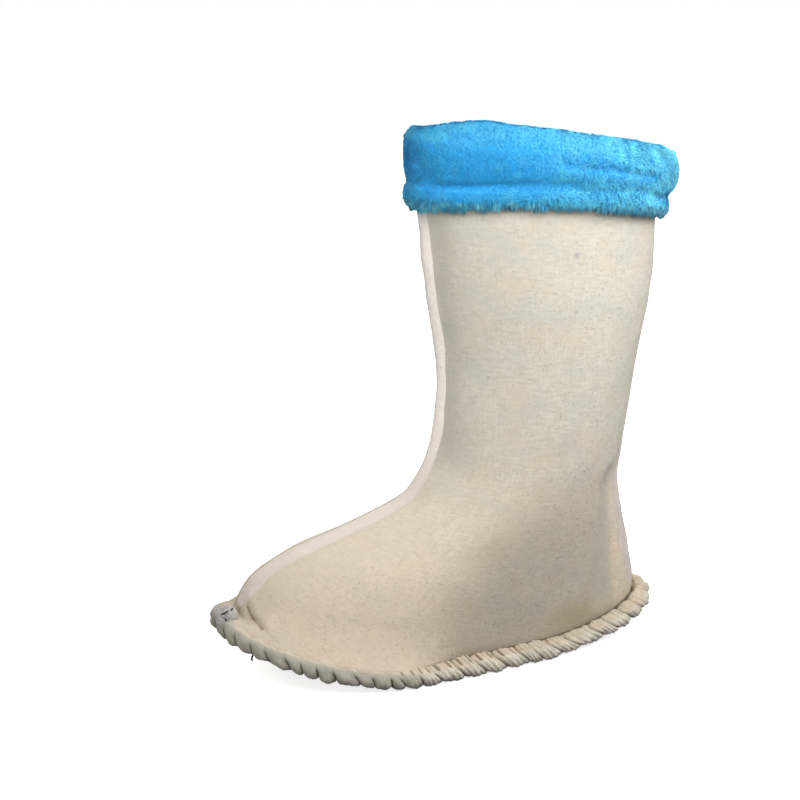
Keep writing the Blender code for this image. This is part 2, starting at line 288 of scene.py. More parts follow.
def new_material(name, roughness, gloss):
    """A material, its nodes and its shader."""
    material = bpy.data.materials.new(name)
    material.use_nodes = True
    shader = material.node_tree.nodes["Principled BSDF"]
    shader.inputs["Roughness"].default_value = roughness
    shader.inputs["Specular IOR Level"].default_value = gloss
    return material, material.node_tree, shader


def new_group(name, inputs, outputs):
    """A shader node group with the named inputs and outputs, and its two end nodes."""
    group = bpy.data.node_groups.new(name, "ShaderNodeTree")
    for label, kind in inputs.items():
        group.interface.new_socket(label, in_out="INPUT", socket_type=kind)
    for label, kind in outputs.items():
        group.interface.new_socket(label, in_out="OUTPUT", socket_type=kind)
    return group, group.nodes.new("NodeGroupInput"), group.nodes.new("NodeGroupOutput")


NAP_NOISES = {"rows": (150, 560, 1), "wales": (600, 120, 1), "warm": (45, 45, 1), "cool": (38, 52, 9)}
FIBRE_NOISE = 1400.0
NAP_TONES = (0.38, 0.62)
NAP_BLOTCHES = (0.46, 0.70)


def felt_nap_group():
    """Knitted felt that was brushed: short level rows, upright wales, loose nap and broad blotches."""
    outputs = dict.fromkeys(("Tone", "Warm", "Cool", "Height"), "NodeSocketFloat")
    group, start, end = new_group("felt_nap", {"Vector": "NodeSocketVector"}, outputs)
    at = start.outputs["Vector"]
    parts = {}
    for label, scale in NAP_NOISES.items():
        spread = add_node(group, "ShaderNodeMapping", {"Vector": at, "Scale": scale, "Location": scale})
        noise = {"Vector": spread.outputs[0], "Scale": 1.0, "Detail": 3.0, "Roughness": 0.6}
        parts[label] = add_node(group, "ShaderNodeTexNoise", noise).outputs[0]
    nap = {"Vector": at, "Scale": FIBRE_NOISE, "Detail": 2.0, "Roughness": 0.6}
    parts["nap"] = add_node(group, "ShaderNodeTexNoise", nap).outputs[0]
    knit = sum_of(group, parts["rows"], 0.62, parts["wales"], 0.38)
    tone = sum_of(group, knit, 0.68, parts["nap"], 0.32)
    group.links.new(ramped(group, tone, *NAP_TONES), end.inputs["Tone"])
    group.links.new(ramped(group, parts["warm"], *NAP_BLOTCHES), end.inputs["Warm"])
    group.links.new(ramped(group, parts["cool"], *NAP_BLOTCHES), end.inputs["Cool"])
    group.links.new(sum_of(group, knit, 0.6, parts["nap"], 0.4), end.inputs["Height"])
    return group


felt_nap = felt_nap_group()
NAP_HEIGHT = 0.5 * MM
WARM_SHARE, COOL_SHARE = 0.6, 0.5
FELT_ROUGHNESS, FELT_GLOSS = 0.95, 0.1
FELT_SHEEN, FELT_SHEEN_ROUGHNESS = 0.15, 0.6
Felt = namedtuple("Felt", "pale shade warm cool")
SOLE_FELT = Felt((0.52, 0.46, 0.36), (0.40, 0.34, 0.25), (0.46, 0.37, 0.25), (0.40, 0.38, 0.32))


def felt_material(name, felt, nap_strength=0.6):
    """Brushed felt. Returns the material and the socket of its colour, for stains and painted shade to be
    laid over.
    """
    material, tree, shader = new_material(name, FELT_ROUGHNESS, FELT_GLOSS)
    grain = add_node(tree, "ShaderNodeUVMap", uv_map="grain").outputs[0]
    nap = add_node(tree, "ShaderNodeGroup", node_tree=felt_nap)
    tree.links.new(grain, nap.inputs["Vector"])
    colour = mixed(tree, nap.outputs["Tone"], felt.shade, felt.pale)
    colour = mixed(tree, sum_of(tree, nap.outputs["Warm"], WARM_SHARE, 0.0, 0.0), colour, felt.warm)
    colour = mixed(tree, sum_of(tree, nap.outputs["Cool"], COOL_SHARE, 0.0, 0.0), colour, felt.cool)
    bump = {"Strength": nap_strength, "Distance": NAP_HEIGHT, "Height": nap.outputs["Height"]}
    normal = add_node(tree, "ShaderNodeBump", bump).outputs[0]
    shader.inputs["Sheen Weight"].default_value = FELT_SHEEN
    shader.inputs["Sheen Roughness"].default_value = FELT_SHEEN_ROUGHNESS
    tree.links.new(normal, shader.inputs["Normal"])
    tree.links.new(colour, shader.inputs["Base Color"])
    return material, colour


def dress(piece, material, replaced=None):
    """Gives a piece its material and slot, and fixes it to the boot."""
    piece.data.materials.append(material)
    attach(piece, "root")
    if replaced:
        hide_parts(replaced)


def sole_plate(name, inset, top_inset, bottom, top):
    """A plate that follows the sole, from a height over its underside to another."""
    angle = angles_round(SOLE_COLUMNS)
    outs = np.linspace(0, 1, SOLE_RING_STEPS)
    under = [sole_surface(angle, out, inset) + bottom * UP for out in outs]
    over = [sole_surface(angle, out, top_inset) + top * UP for out in outs[::-1]]
    rings = np.array(under + over)
    swell = SOLE_SWELL * np.clip(soft_swell(rings, SOLE_SWELL_SIZE, 11), 0, 1)
    rings[SOLE_RING_STEPS:, :, 2] += swell[SOLE_RING_STEPS:]
    return loft(name, rings)


outsole = sole_plate("felt_outsole", EDGE_INSET, EDGE_INSET, 0.0, SOLE_THICKNESS)
sole_felt, _ = felt_material("felt_sole_look", SOLE_FELT, 0.8)
dress(outsole, sole_felt, "outsole")


# Felt upper
# Two mirrored panels of cream knitted felt, brushed on the outside and backed with blue plush, sewn
# together along the front and back. The panels stand in soft swells, and are drawn in at the ankle.
WALL = 3.0 * MM
UPPER_ROWS = 120
LINING_ROWS = 50
UPPER_COLUMNS = 320
ROWS_CROWD_DOWN = 1.25
FELT_SWELL = 0.55 * MM
FELT_SWELL_SIZE = 55 * MM
FELT_RIPPLE = 0.16 * MM
FELT_RIPPLE_SIZE = 14 * MM
FREE_ABOVE, FREE_BELOW = 1.2, 0.9
CREAM_FELT = Felt((0.715, 0.668, 0.565), (0.585, 0.542, 0.448), (0.69, 0.585, 0.455), (0.565, 0.565, 0.50))
PLUSH_ROOT = (0.03, 0.34, 0.72)
PLUSH_FELT = Felt(*[PLUSH_ROOT] * 4)
VAMP_WARM = (0.65, 0.535, 0.40)
# Darker colour low on the boot, partly soiling and partly painted shade
HEEL_SOIL_AND_SHADE = (0.435, 0.395, 0.315)
HEEL_OCHRE = (0.40, 0.325, 0.20)
OCHRE_AT = (-0.078, 0.033, 0.020)
OCHRE_SIZE = (0.034, 0.030, 0.014)
SHIN_SHADE = (0.47, 0.435, 0.36)
SHIN_AT = (0.006, 0.024, 0.135)
SHIN_SIZE = 0.036
FOLD_SHADE = (0.45, 0.42, 0.35)
FOLD_LIMIT = 2.2 * MM
HEM_BROWN = (0.21, 0.15, 0.085)
TUCK_BROWN = (0.30, 0.20, 0.09)
SPOT_AT = (-0.0618, 0.0483, 0.2407)
SPOT_SIZE = 3.2 * MM
SPOT_GREY = (0.36, 0.36, 0.36)
LIP_BEGINS, LIP_FULL = 0.50, 0.70
LIP_SIDE_LEVEL, LIP_TIP_LEVEL = 2.1, 0.8
LIP_TIP_FROM, LIP_TIP_TO = 0.93, 0.995
LIP_FOOT = np.radians(46)
LIP_BEND = 0.3
LIP_ROUND = 6.0 * MM
LIP_TUCKED = 1.0 * MM
HEM_LEVEL = 0.42
TOE_GREY = (0.35, 0.335, 0.275)
GREY_LEVEL = 0.5
TUCK_WIDTH = 1.5 * MM
FELT_TINTS = [("fold", FOLD_SHADE, 0.6), ("grey", TOE_GREY, 0.55), ("hem", HEM_BROWN, 0.85)]

# Ramps of the warm vamp and of the darkening low on the boot, which is partly soiling and partly painted
# shade:
# where each begins and ends, along the boot or up it, and its shares at those places
VAMP_GRAIN = (0.0, 0.05, 0.8, 0.35)
VAMP_HEIGHTS = (0.04, 0.15, 0.8, 0.0)
SOIL_AND_SHADE_HEIGHTS = (0.025, 0.14, 1.0, 0.0)
SOIL_AND_SHADE_FRONT = (-0.03, 0.05)
SOIL_AND_SHADE_BACK = (-0.099, -0.112, 0.0, 0.85)

Section = namedtuple("Section", "back_x back_z front_x front_z wall half_width oval ridge dip")
SECTIONS = [
    Section(-129.5, 18.8, 125.5, 35.1, 1.00, 46.0, 0.00, 0.70, 1.00),
    Section(-130.5, 28.0, 123.5, 43.2, 1.02, 46.0, 0.02, 0.70, 0.95),
    Section(-128.2, 42.0, 115.5, 56.2, 1.02, 44.0, 0.16, 0.70, 0.80),
    Section(-125.0, 58.0, 91.0, 71.8, 1.00, 42.0, 0.42, 0.70, 0.58),
    Section(-121.2, 75.0, 55.0, 83.3, 0.95, 41.0, 0.72, 0.70, 0.34),
    Section(-116.8, 96.0, 22.0, 97.3, 0.92, 41.0, 0.94, 0.69, 0.12),
    Section(-118.6, 112.0, 7.0, 121.0, 0.90, 41.5, 1.00, 0.68, 0.02),
    Section(-122.8, 138.0, 2.4, 145.0, 0.90, 43.0, 1.00, 0.67, 0.00),
    Section(-128.4, 172.0, 0.8, 172.0, 0.90, 45.0, 1.00, 0.66, 0.00),
    Section(-134.0, 214.0, 7.0, 218.0, 0.90, 47.5, 1.00, 0.64, 0.00),
    Section(-135.5, 252.0, 12.0, 264.0, 0.90, 48.5, 1.00, 0.60, 0.00),
    Section(-135.5, 288.0, 14.0, 301.0, 0.90, 48.5, 1.00, 0.56, 0.00),
]
RIM = len(SECTIONS) - 1

# Folds and hollows of the felt, each along a line of (level, degrees round the boot from the heel). A depth
# below nothing is a ridge.
Crease = namedtuple("Crease", "line width depth")
CREASES = [
    Crease([(1.30, 168.0), (1.02, 162.0), (0.70, 153.0)], 2.4, 1.7),
    Crease([(1.75, 169.0), (1.15, 157.0), (0.80, 148.0)], 3.5, -0.8),
    Crease([(5.2, 40.0), (3.2, 41.0), (1.5, 44.0)], 8.0, 2.6),
    Crease([(5.2, 323.0), (3.2, 322.0), (1.5, 319.0)], 9.0, 1.6),
    Crease([(9.7, 160.0), (8.3, 161.0), (7.0, 161.0), (6.4, 158.0)], 10.0, 1.8),
    Crease([(9.7, 200.0), (8.3, 199.0), (7.0, 199.0), (6.2, 202.0)], 8.0, 1.2),
    Crease([(5.9, 160.0), (5.75, 140.0), (5.7, 122.0)], 9.0, 0.9),
    Crease([(5.9, 200.0), (5.75, 220.0), (5.7, 238.0)], 9.0, 0.9),
]


def section_at(level):
    """The section at a level, counted in rows of the table, with smooth sizes in between."""
    rows = np.array(SECTIONS)
    return Section(*[curve_through(np.arange(len(rows)), column, level) for column in rows.T])


def upper_surface(level, angle):
    """Outer face of the felt upper at a level and an angle round the boot."""
    row = section_at(level)
    share = along(angle)
    edge = inset_edge(angle, EDGE_INSET)
    heel = inset_edge(0.0, EDGE_INSET)
    toe = inset_edge(np.pi, EDGE_INSET)
    x = mix(row.back_x, row.front_x, share) * MM
    x = x + row.dip * (edge[..., 0] - mix(heel[0], toe[0], share))
    z = mix(row.back_z, row.front_z, share) * MM
    z = z + row.dip * (edge[..., 2] - mix(heel[2], toe[2], share))
    lens = np.sin(np.pi * share) ** row.ridge * np.sign(np.sin(angle))
    y = mix(row.wall * edge[..., 1], row.half_width * MM * lens, row.oval)
    return np.stack([x + 0 * y, y, z + 0 * y], axis=-1)


def upper_outward(level, angle):
    """Direction out of the felt, square to the upper's surface."""
    turn = 0.06
    climb = 0.05
    low = np.clip(np.asarray(level) - climb, 0, RIM)
    high = np.clip(np.asarray(level) + climb, 0, RIM)
    round_run = upper_surface(level, angle + turn) - upper_surface(level, angle - turn)
    up_run = upper_surface(high, angle) - upper_surface(low, angle)
    return unit(np.cross(up_run, round_run))


def lip_share(angle):
    """How far the felt runs out over the sole's edge: 0 round the heel, 1 round the toe."""
    return smooth_step(LIP_BEGINS, LIP_FULL, along(angle))


def felt_base(level, angle):
    """Outer face of the felt, with its lower edge drawn out over the overcast roll round the toe."""
    level, angle = np.broadcast_arrays(np.asarray(level, float), angle)
    tip = smooth_step(LIP_TIP_FROM, LIP_TIP_TO, along(angle))
    top = mix(LIP_SIDE_LEVEL, LIP_TIP_LEVEL, tip)
    head = upper_surface(top, angle)
    wall = upper_surface(top - LIP_TIP_LEVEL / 2, angle) - head
    out = roll_outward(angle)
    foot_way = np.cos(LIP_FOOT) * out + np.sin(LIP_FOOT) * UP
    foot = roll_centre(angle) + (ROLL_RADIUS - LIP_TUCKED) * foot_way
    run_in = LIP_ROUND * (np.cos(LIP_FOOT) * UP - np.sin(LIP_FOOT) * out)
    t = np.clip(1 - level / top, 0, 1)[..., None]
    bend = LIP_BEND * np.linalg.norm(foot - head, axis=-1, keepdims=True) * unit(wall)
    inner = (1 - t) ** 3 * head + 3 * (1 - t) ** 2 * t * (head + bend)
    outer = 3 * (1 - t) * t**2 * (foot + run_in) + t**3 * foot
    return mix(upper_surface(level, angle), inner + outer, (lip_share(angle) * (level < top))[..., None])


def distance_to(points, line, surface):
    """How far points lie from a line that is given by (place, degrees) on a surface."""
    place, degrees = np.array(line).T
    knots = np.arange(len(place))
    steps = np.linspace(0, len(place) - 1, 12 * len(place))
    nearest = np.full(points.shape[:-1], np.inf)
    for spot in surface(np.interp(steps, knots, place), np.radians(np.interp(steps, knots, degrees))):
        nearest = np.minimum(nearest, np.linalg.norm(points - spot, axis=-1))
    return nearest


def crease_depth(points, creases, surface):
    """How far folds and hollows draw a surface in at each point."""
    depth = np.zeros(points.shape[:-1])
    for crease in creases:
        away = distance_to(points, crease.line, surface)
        depth += crease.depth * MM * np.exp(-((away / (crease.width * MM)) ** 2))
    return depth


def fold_depth(face):
    """Depth of the felt's folds at points of its face, limited so that they stay in the wall."""
    return FOLD_LIMIT * np.tanh(crease_depth(face, CREASES, felt_base) / FOLD_LIMIT)


def felt_face(level, angle):
    """The upper's outer face with its swells, ripples and folds, and the directions out of it."""
    face = felt_base(level, angle)
    out = upper_outward(level, angle)
    free = smooth_step(0.0, FREE_ABOVE, level) * smooth_step(0, 0.6, RIM - FREE_BELOW - level)
    swell = FELT_SWELL * soft_swell(face, FELT_SWELL_SIZE, 21)
    swell = swell + FELT_RIPPLE * soft_swell(face, FELT_RIPPLE_SIZE, 22)
    return face + (free * swell - fold_depth(face))[..., None] * out, out


levels = (RIM * np.linspace(1, 0, UPPER_ROWS) ** ROWS_CROWD_DOWN)[:, None]
lining_levels = np.linspace(0, RIM, LINING_ROWS)[:, None]
turns = angles_round(UPPER_COLUMNS)[None, :]
felt_outside, _ = felt_face(levels, turns)
lining_inside = upper_surface(lining_levels, turns) - WALL * upper_outward(lining_levels, turns)
hem_marks = (1 - lip_share(turns)) * smooth_step(HEM_LEVEL + 0.06, HEM_LEVEL - 0.04, levels)
grey_marks = lip_share(turns) * smooth_step(GREY_LEVEL, 0.0, levels)
fold_marks = np.clip(fold_depth(felt_base(levels, turns)) / FOLD_LIMIT, 0, 1)
plain_inside = np.zeros((LINING_ROWS, UPPER_COLUMNS))
felt_marks = {"hem": hem_marks, "fold": fold_marks, "grey": grey_marks}
upper = loft(
    "felt_upper",
    np.concatenate([felt_outside, lining_inside]),
    joined=True,
    panels=True,
    second_from=UPPER_ROWS,
    marks={label: np.concatenate([values, plain_inside]) for label, values in felt_marks.items()},
)


def near_line(tree, place, start, end, width):
    """The socket of a share that is 1 on a straight line and 0 at a width from it."""
    run = end - start
    offset = vector_math(tree, "SUBTRACT", place, start)
    reach = vector_math(tree, "DOT_PRODUCT", offset, run / (run @ run))
    held = add_node(tree, "ShaderNodeClamp", {0: reach}).outputs[0]
    foot = vector_math(tree, "MULTIPLY_ADD", run, held, start)
    return ramped(tree, vector_math(tree, "DISTANCE", place, foot), 0.0, width, 1.0, 0.0)


felt, felt_colour = felt_material("felt_cream_look", CREAM_FELT)
tree = felt.node_tree
place = add_node(tree, "ShaderNodeTexCoord").outputs["Object"]
parts = add_node(tree, "ShaderNodeSeparateXYZ", {0: place}).outputs
felt_mean = np.mean([CREAM_FELT.pale, CREAM_FELT.shade], axis=0)
uneven = vector_math(tree, "DIVIDE", felt_colour, felt_mean)
warm, dull_and_shaded = (vector_math(tree, "MULTIPLY", uneven, shade) for shade in (VAMP_WARM, HEEL_SOIL_AND_SHADE))
warm = mixed(tree, ramped(tree, parts["X"], *VAMP_GRAIN), VAMP_WARM, warm)
stained_and_shaded = mixed(tree, ramped(tree, parts["Z"], *VAMP_HEIGHTS), felt_colour, warm)
# Darker low on the boot, fading towards the front and at the very back of the heel: partly soiling, partly
# painted shade
soil_and_shade = ramped(tree, parts["Z"], *SOIL_AND_SHADE_HEIGHTS)
for ramp in (SOIL_AND_SHADE_FRONT, SOIL_AND_SHADE_BACK):
    soil_and_shade = sum_of(tree, soil_and_shade, 1.0, ramped(tree, parts["X"], *ramp), -1.0)
stained_and_shaded = mixed(tree, ramped(tree, soil_and_shade, 0.0, 1.0, 0.0, 0.85), stained_and_shaded, dull_and_shaded)
ochre = vector_math(tree, "DIVIDE", vector_math(tree, "SUBTRACT", place, OCHRE_AT), OCHRE_SIZE)
ochre = vector_math(tree, "LENGTH", ochre)
stained_and_shaded = mixed(tree, ramped(tree, ochre, 0.2, 1.0, 0.75, 0.0), stained_and_shaded, HEEL_OCHRE)
spots = [(SHIN_AT, SHIN_SIZE, SHIN_SHADE, 0.5), (SPOT_AT, SPOT_SIZE, SPOT_GREY, 0.75)]
for middle, size, shade, most in spots:
    away = vector_math(tree, "DISTANCE", place, middle)
    stained_and_shaded = mixed(tree, ramped(tree, away, 0.0, size, most, 0.0), stained_and_shaded, shade)
stained_and_shaded = tinted(tree, stained_and_shaded, FELT_TINTS, 0.15, 1.0)
tuck_line, _ = felt_face(*np.array([(level, np.radians(turn)) for level, turn in CREASES[0].line]).T)
for start, end in zip(tuck_line[:-1], tuck_line[1:]):
    stained_and_shaded = mixed(tree, near_line(tree, place, start, end, TUCK_WIDTH), stained_and_shaded, TUCK_BROWN)
tree.links.new(stained_and_shaded, tree.nodes["Principled BSDF"].inputs["Base Color"])
plush_ground, _ = felt_material("plush_ground", PLUSH_FELT, 1.0)
dress(upper, felt, "upper")
upper.data.materials.append(plush_ground)


# Overcast roll
# The sole and the upper are whipped together all round with thick felted yarn, drawn so tight that the edge
# bulges between the stitches. Round the toe the felt of the upper runs out over the edge and the stitches
# only nick it. Round the heel the edge stands free of the wall as a rope, with a groove behind it.
TOE_PITCH = 9.6 * MM
HEEL_PITCH = 13.6 * MM
PITCH_UNEVEN = 0.22
STITCH_STEPS = 24
ROLL_SIDES = 36
TOE_SLANT = 1.6 * MM
HEEL_SLANT = 4.8 * MM
SLANT_UNEVEN = 1.5 * MM
TOE_NICK = 3.0 * MM
HEEL_GROOVE = 2.4 * MM
TOE_BULGE = 0.36
HEEL_BULGE = 0.38
HEEL_SLIM = 0.92
BULGE_UNEVEN = 0.9 * MM
YARN_RIDGES = 4
YARN_HEIGHT = 0.7 * MM
ROLL_RAGGED = 0.4 * MM
ROLL_RAGGED_SIZE = 3.5 * MM
LIP_FLATTENS = 0.1
TRACE_STEPS = 1440
ROLL_FELT = Felt((0.75, 0.69, 0.57), (0.57, 0.52, 0.42), (0.67, 0.56, 0.41), (0.57, 0.57, 0.495))
LIP_FELT = (0.60, 0.51, 0.395)
TIP_FELT = (0.46, 0.43, 0.35)
PAINTED_GROOVE_SHADE = (0.07, 0.055, 0.04)
HEEL_GROOVE_SHARE = 0.75
YARN_SHADE = 0.6
ROLL_TAN = (0.50, 0.385, 0.25)
STITCH_BROWN = (0.17, 0.11, 0.06)
STITCH_WIDTH = 0.17
STITCH_SHARES = (0.30, 0.42)
TIP_SHARES = (0.965, 0.99)
# The groove and under tints are painted shade: in the dips between the bulges, between the yarn's ridges
# and on the roll's underside
ROLL_TINTS = [
    ("lip", LIP_FELT, 0.6),
    ("tip", TIP_FELT, 0.8),
    ("hem", HEM_BROWN, 0.85),
    ("toe", TOE_GREY, 0.75),
    ("top", ROLL_TAN, 0.5),
    ("under", PAINTED_GROOVE_SHADE, 0.45),
    ("stitch", STITCH_BROWN, 0.8),
    ("groove", PAINTED_GROOVE_SHADE, 0.9),
]

# Where nicks and tints begin and end round the roll, in radians up from its outermost line
NICK_TOP, NICK_UNDER = np.radians((42, 5)), (-2.2, -1.2)
HEM_TURNS = (1.9, 2.4)
TOP_TURNS = (0.4, 1.2)
TOE_TURNS = np.radians((85, 35))
LIP_TURNS = np.radians((20, 65))
STITCH_FOOT, STITCH_HEAD = (0.6, 0.9), (2.0, 1.6)
UNDER_HEEL, UNDER_TOE, UNDER_FULL = 0.0, -0.3, -1.1
UNDER_ENDS = (-2.6, -1.6)


def roll_run():
    """Angles all round the boot, with the stitches passed and the way run at each, in whole stitches."""
    trace = np.linspace(0, 2 * np.pi, TRACE_STEPS + 1)
    strides = np.linalg.norm(np.diff(roll_centre(trace), axis=0), axis=1)
    pitch = mix(HEEL_PITCH, TOE_PITCH, lip_share((trace[1:] + trace[:-1]) / 2))
    passed = np.pad(np.cumsum(strides / pitch), (1, 0))
    return trace, passed * round(passed[-1]) / passed[-1], np.pad(np.cumsum(strides), (1, 0))


def roll_surface():
    """Rings of points along the roll, and the marks at each point for the tints."""
    trace, passed, run = roll_run()
    stitches = round(passed[-1])
    uneven = np.random.default_rng(31).uniform(-1, 1, (4, stitches + 1))
    uneven[:, -1] = uneven[:, 0]
    edges = np.arange(stitches + 1) + PITCH_UNEVEN * (uneven[3] - uneven[3, 0])
    sides = angles_round(ROLL_SIDES)
    turned = (sides + np.pi) % (2 * np.pi) - np.pi
    rings = []
    marks = {mark: [] for mark, _, _ in ROLL_TINTS}
    for step in range(stitches * STITCH_STEPS):
        stitch, phase = divmod(step / STITCH_STEPS, 1)
        before, after = int(stitch), int(stitch) + 1
        bulge, slant, shift = mix(uneven[:3, before], uneven[:3, after], phase)
        middle = np.interp(mix(edges[before], edges[after], phase), passed, trace)
        lip = lip_share(middle)
        lean = mix(HEEL_SLANT, TOE_SLANT, lip) + SLANT_UNEVEN * slant
        angle = np.interp((np.interp(middle, trace, run) + lean * np.sin(sides)) % run[-1], run, trace)
        dome = np.sin(np.pi * phase ** (1 + 0.2 * shift)) ** mix(HEEL_BULGE, TOE_BULGE, lip)
        wrapped = np.clip(0.75 + np.cos(sides - 0.35), 0, 1)
        nicked = smooth_step(*NICK_TOP, turned) * smooth_step(*NICK_UNDER, turned)
        gate = mix(wrapped, nicked, lip)
        ridge = np.abs(np.sin(np.pi * YARN_RIDGES * phase))
        yarn = YARN_HEIGHT * ridge * dome * (1 - 0.75 * lip)
        groove = mix(HEEL_GROOVE, TOE_NICK, lip) * (1 - dome)
        slim = mix(1, mix(HEEL_SLIM, 1, lip), smooth_step(-0.3, 0.3, np.cos(sides)))
        radius = ROLL_RADIUS * slim + gate * (yarn - groove)
        radius = radius + wrapped * BULGE_UNEVEN * bulge * dome
        rise = radius * np.sin(sides)
        rise = np.where(rise > 0, rise * (1 - LIP_FLATTENS * lip), rise)
        reach = (radius * np.cos(sides))[:, None] * roll_outward(angle)
        rings.append(roll_centre(angle) + reach + rise[:, None] * UP)
        # Painted shade in the dips between the bulges and between the yarn's ridges, and on the roll's
        # underside
        seams = (1 - lip) * YARN_SHADE * (1 - ridge) ** 3
        marks["groove"].append(gate * np.maximum((1 - dome) * mix(HEEL_GROOVE_SHARE, 1, lip), seams))
        under = smooth_step(mix(UNDER_HEEL, UNDER_TOE, lip), UNDER_FULL, turned)
        marks["under"].append(under * smooth_step(*UNDER_ENDS, turned))
        sewn = np.exp(-((((2 * phase) % 1 - 0.5) / STITCH_WIDTH) ** 2)) * smooth_step(1, 0.8, lip)
        sewn = sewn * smooth_step(*STITCH_SHARES, along(middle))
        marks["stitch"].append(sewn * smooth_step(*STITCH_FOOT, turned) * smooth_step(*STITCH_HEAD, turned))
        marks["hem"].append((1 - lip) * smooth_step(*HEM_TURNS, turned))
        marks["top"].append((1 - lip) * smooth_step(*TOP_TURNS, turned))
        marks["toe"].append(lip * smooth_step(*TOE_TURNS, turned))
        marks["lip"].append(lip * smooth_step(*LIP_TURNS, turned))
        marks["tip"].append(smooth_step(*TIP_SHARES, along(middle)) + 0 * sides)
    rings = np.array(rings)
    ragged = (ROLL_RAGGED * soft_swell(rings, ROLL_RAGGED_SIZE, 32))[..., None]
    rings = rings + ragged * unit(rings - rings.mean(axis=1, keepdims=True))
    rings[..., 2] = np.maximum(rings[..., 2], 0.0)
    return rings, {label: np.array(values) for label, values in marks.items()}


roll_rings, roll_marks = roll_surface()
roll = loft("overcast_roll", roll_rings, joined=True, marks=roll_marks)
roll_felt, roll_colour = felt_material("overcast_yarn", ROLL_FELT, 0.8)
tree = roll_felt.node_tree
roll_colour = tinted(tree, roll_colour, ROLL_TINTS, 0.2, 0.95)
tree.links.new(roll_colour, tree.nodes["Principled BSDF"].inputs["Base Color"])
dress(roll, roll_felt, "edge_roll")


# Seam bands
# The two panels are joined at the front and the back by a flat covered seam, a soft raised band of paler
# brushed felt that runs along each ridge of the boot. It is low over the foot, and spreads out at the heel.
BAND_SUNK = 0.35 * MM
BAND_START = 0.62
BAND_END = RIM - 0.85
BAND_ROWS = 200
BAND_ACROSS = 18
BAND_SWELL = 0.15 * MM
BAND_SWELL_SIZE = 9 * MM
BAND_RIPPLE = 0.06
BAND_FADE = 1.3
RIDGE_REACH = 0.9
BAND_FELT = Felt((0.97, 0.90, 0.825), (0.87, 0.79, 0.715), (0.93, 0.81, 0.735), (0.87, 0.82, 0.765))
BAND_WORN = (0.69, 0.585, 0.50)
# Painted shade over the back band, darker towards the back
PAINTED_BACK_SHADE = (0.50, 0.43, 0.37)
BAND_SHEEN = 0.55
BAND_ROUNDNESS = 1.2
WORN_HEIGHTS = (0.09, 0.15, 0.85, 0.0)
PAINTED_BACK_SHADE_RAMP = (-0.06, -0.09, 0.0, 0.65)
FEATHER_LEVELS = (6.5, 5.0)
FEATHER_ACROSS = (0.45, 0.95)
FEATHER_FELT = (0.60, 0.525, 0.425)

BandSize = namedtuple("BandSize", "level width thickness aside")
FRONT_BAND = [
    BandSize(BAND_START, 19.5, 0.5, 4.2),
    BandSize(3.0, 17.5, 0.9, 3.9),
    BandSize(4.5, 15.5, 1.5, 3.2),
    BandSize(6.0, 14.5, 1.7, 0.6),
    BandSize(BAND_END, 13.5, 2.1, 0.0),
]
BACK_BAND = [
    BandSize(BAND_START, 23.0, 1.0, 11.0),
    BandSize(4.0, 21.0, 1.2, 10.0),
    BandSize(6.0, 15.0, 1.5, 3.0),
    BandSize(BAND_END, 13.5, 1.7, 0.0),
]


def ridge_angles(level, ridge, offsets):
    """Angles at which a section lies the given distances from its front or back ridge."""
    reach = np.linspace(-RIDGE_REACH, RIDGE_REACH, TRACE_STEPS + 1)
    line = upper_surface(level, ridge + reach)
    run = np.pad(np.cumsum(np.linalg.norm(np.diff(line, axis=0), axis=1)), (1, 0))
    return ridge + np.interp(offsets, run - run[len(run) // 2], reach)


def seam_band(name, ridge, sizes):
    """A band with a soft rounded section, laid along a ridge of the felt."""
    across = -np.cos(np.linspace(0, np.pi, BAND_ACROSS))
    section = np.concatenate([across, across[-2:0:-1]])
    lift = np.concatenate([(1 - across**2) ** BAND_ROUNDNESS, 0 * across[-2:0:-1]])
    level = np.linspace(BAND_START, BAND_END, BAND_ROWS)
    knots, widths, heights, asides = np.array(sizes).T
    ripple = 1 + BAND_RIPPLE * soft_swell(upper_surface(level, ridge), BAND_SWELL_SIZE, 42)
    width = curve_through(knots, widths, level) * MM * ripple
    aside = curve_through(knots, asides, level) * MM * np.cos(ridge)
    fading_in = smooth_step(BAND_START - 0.1, BAND_START + BAND_FADE, level)
    height = curve_through(knots, heights, level) * MM * fading_in
    offsets = aside[:, None] + section * width[:, None] / 2
    angle = np.array([ridge_angles(at, ridge, row) for at, row in zip(level, offsets)])
    face, out = felt_face(level[:, None], angle)
    swell = BAND_SWELL * soft_swell(face, BAND_SWELL_SIZE, 41)
    feather = smooth_step(*FEATHER_ACROSS, np.abs(section)) * smooth_step(*FEATHER_LEVELS, level)[:, None]
    feather = np.maximum(feather, smooth_step(BAND_START + BAND_FADE / 2, BAND_START, level)[:, None])
    rings = face + ((height[:, None] + swell) * lift - BAND_SUNK)[..., None] * out
    return loft(name, rings, capped=True, marks={"feather": feather})


band_felt, band_colour = felt_material("seam_band_look", BAND_FELT, 0.8)
tree = band_felt.node_tree
place = add_node(tree, "ShaderNodeTexCoord").outputs["Object"]
parts = add_node(tree, "ShaderNodeSeparateXYZ", {0: place}).outputs
band_colour = mixed(tree, ramped(tree, parts["Z"], *WORN_HEIGHTS), band_colour, BAND_WORN)
# Painted shade darkens the band towards the back
band_colour = mixed(tree, ramped(tree, parts["X"], *PAINTED_BACK_SHADE_RAMP), band_colour, PAINTED_BACK_SHADE)
band_colour = tinted(tree, band_colour, [("feather", FEATHER_FELT, 0.85)], 0.0, 1.0)
tree.links.new(band_colour, tree.nodes["Principled BSDF"].inputs["Base Color"])
tree.nodes["Principled BSDF"].inputs["Sheen Weight"].default_value = BAND_SHEEN
for name, ridge, sizes in (("front_seam_band", np.pi, FRONT_BAND), ("back_seam_band", 0.0, BACK_BAND)):
    dress(seam_band("felt_" + name, ridge, sizes), band_felt, name)


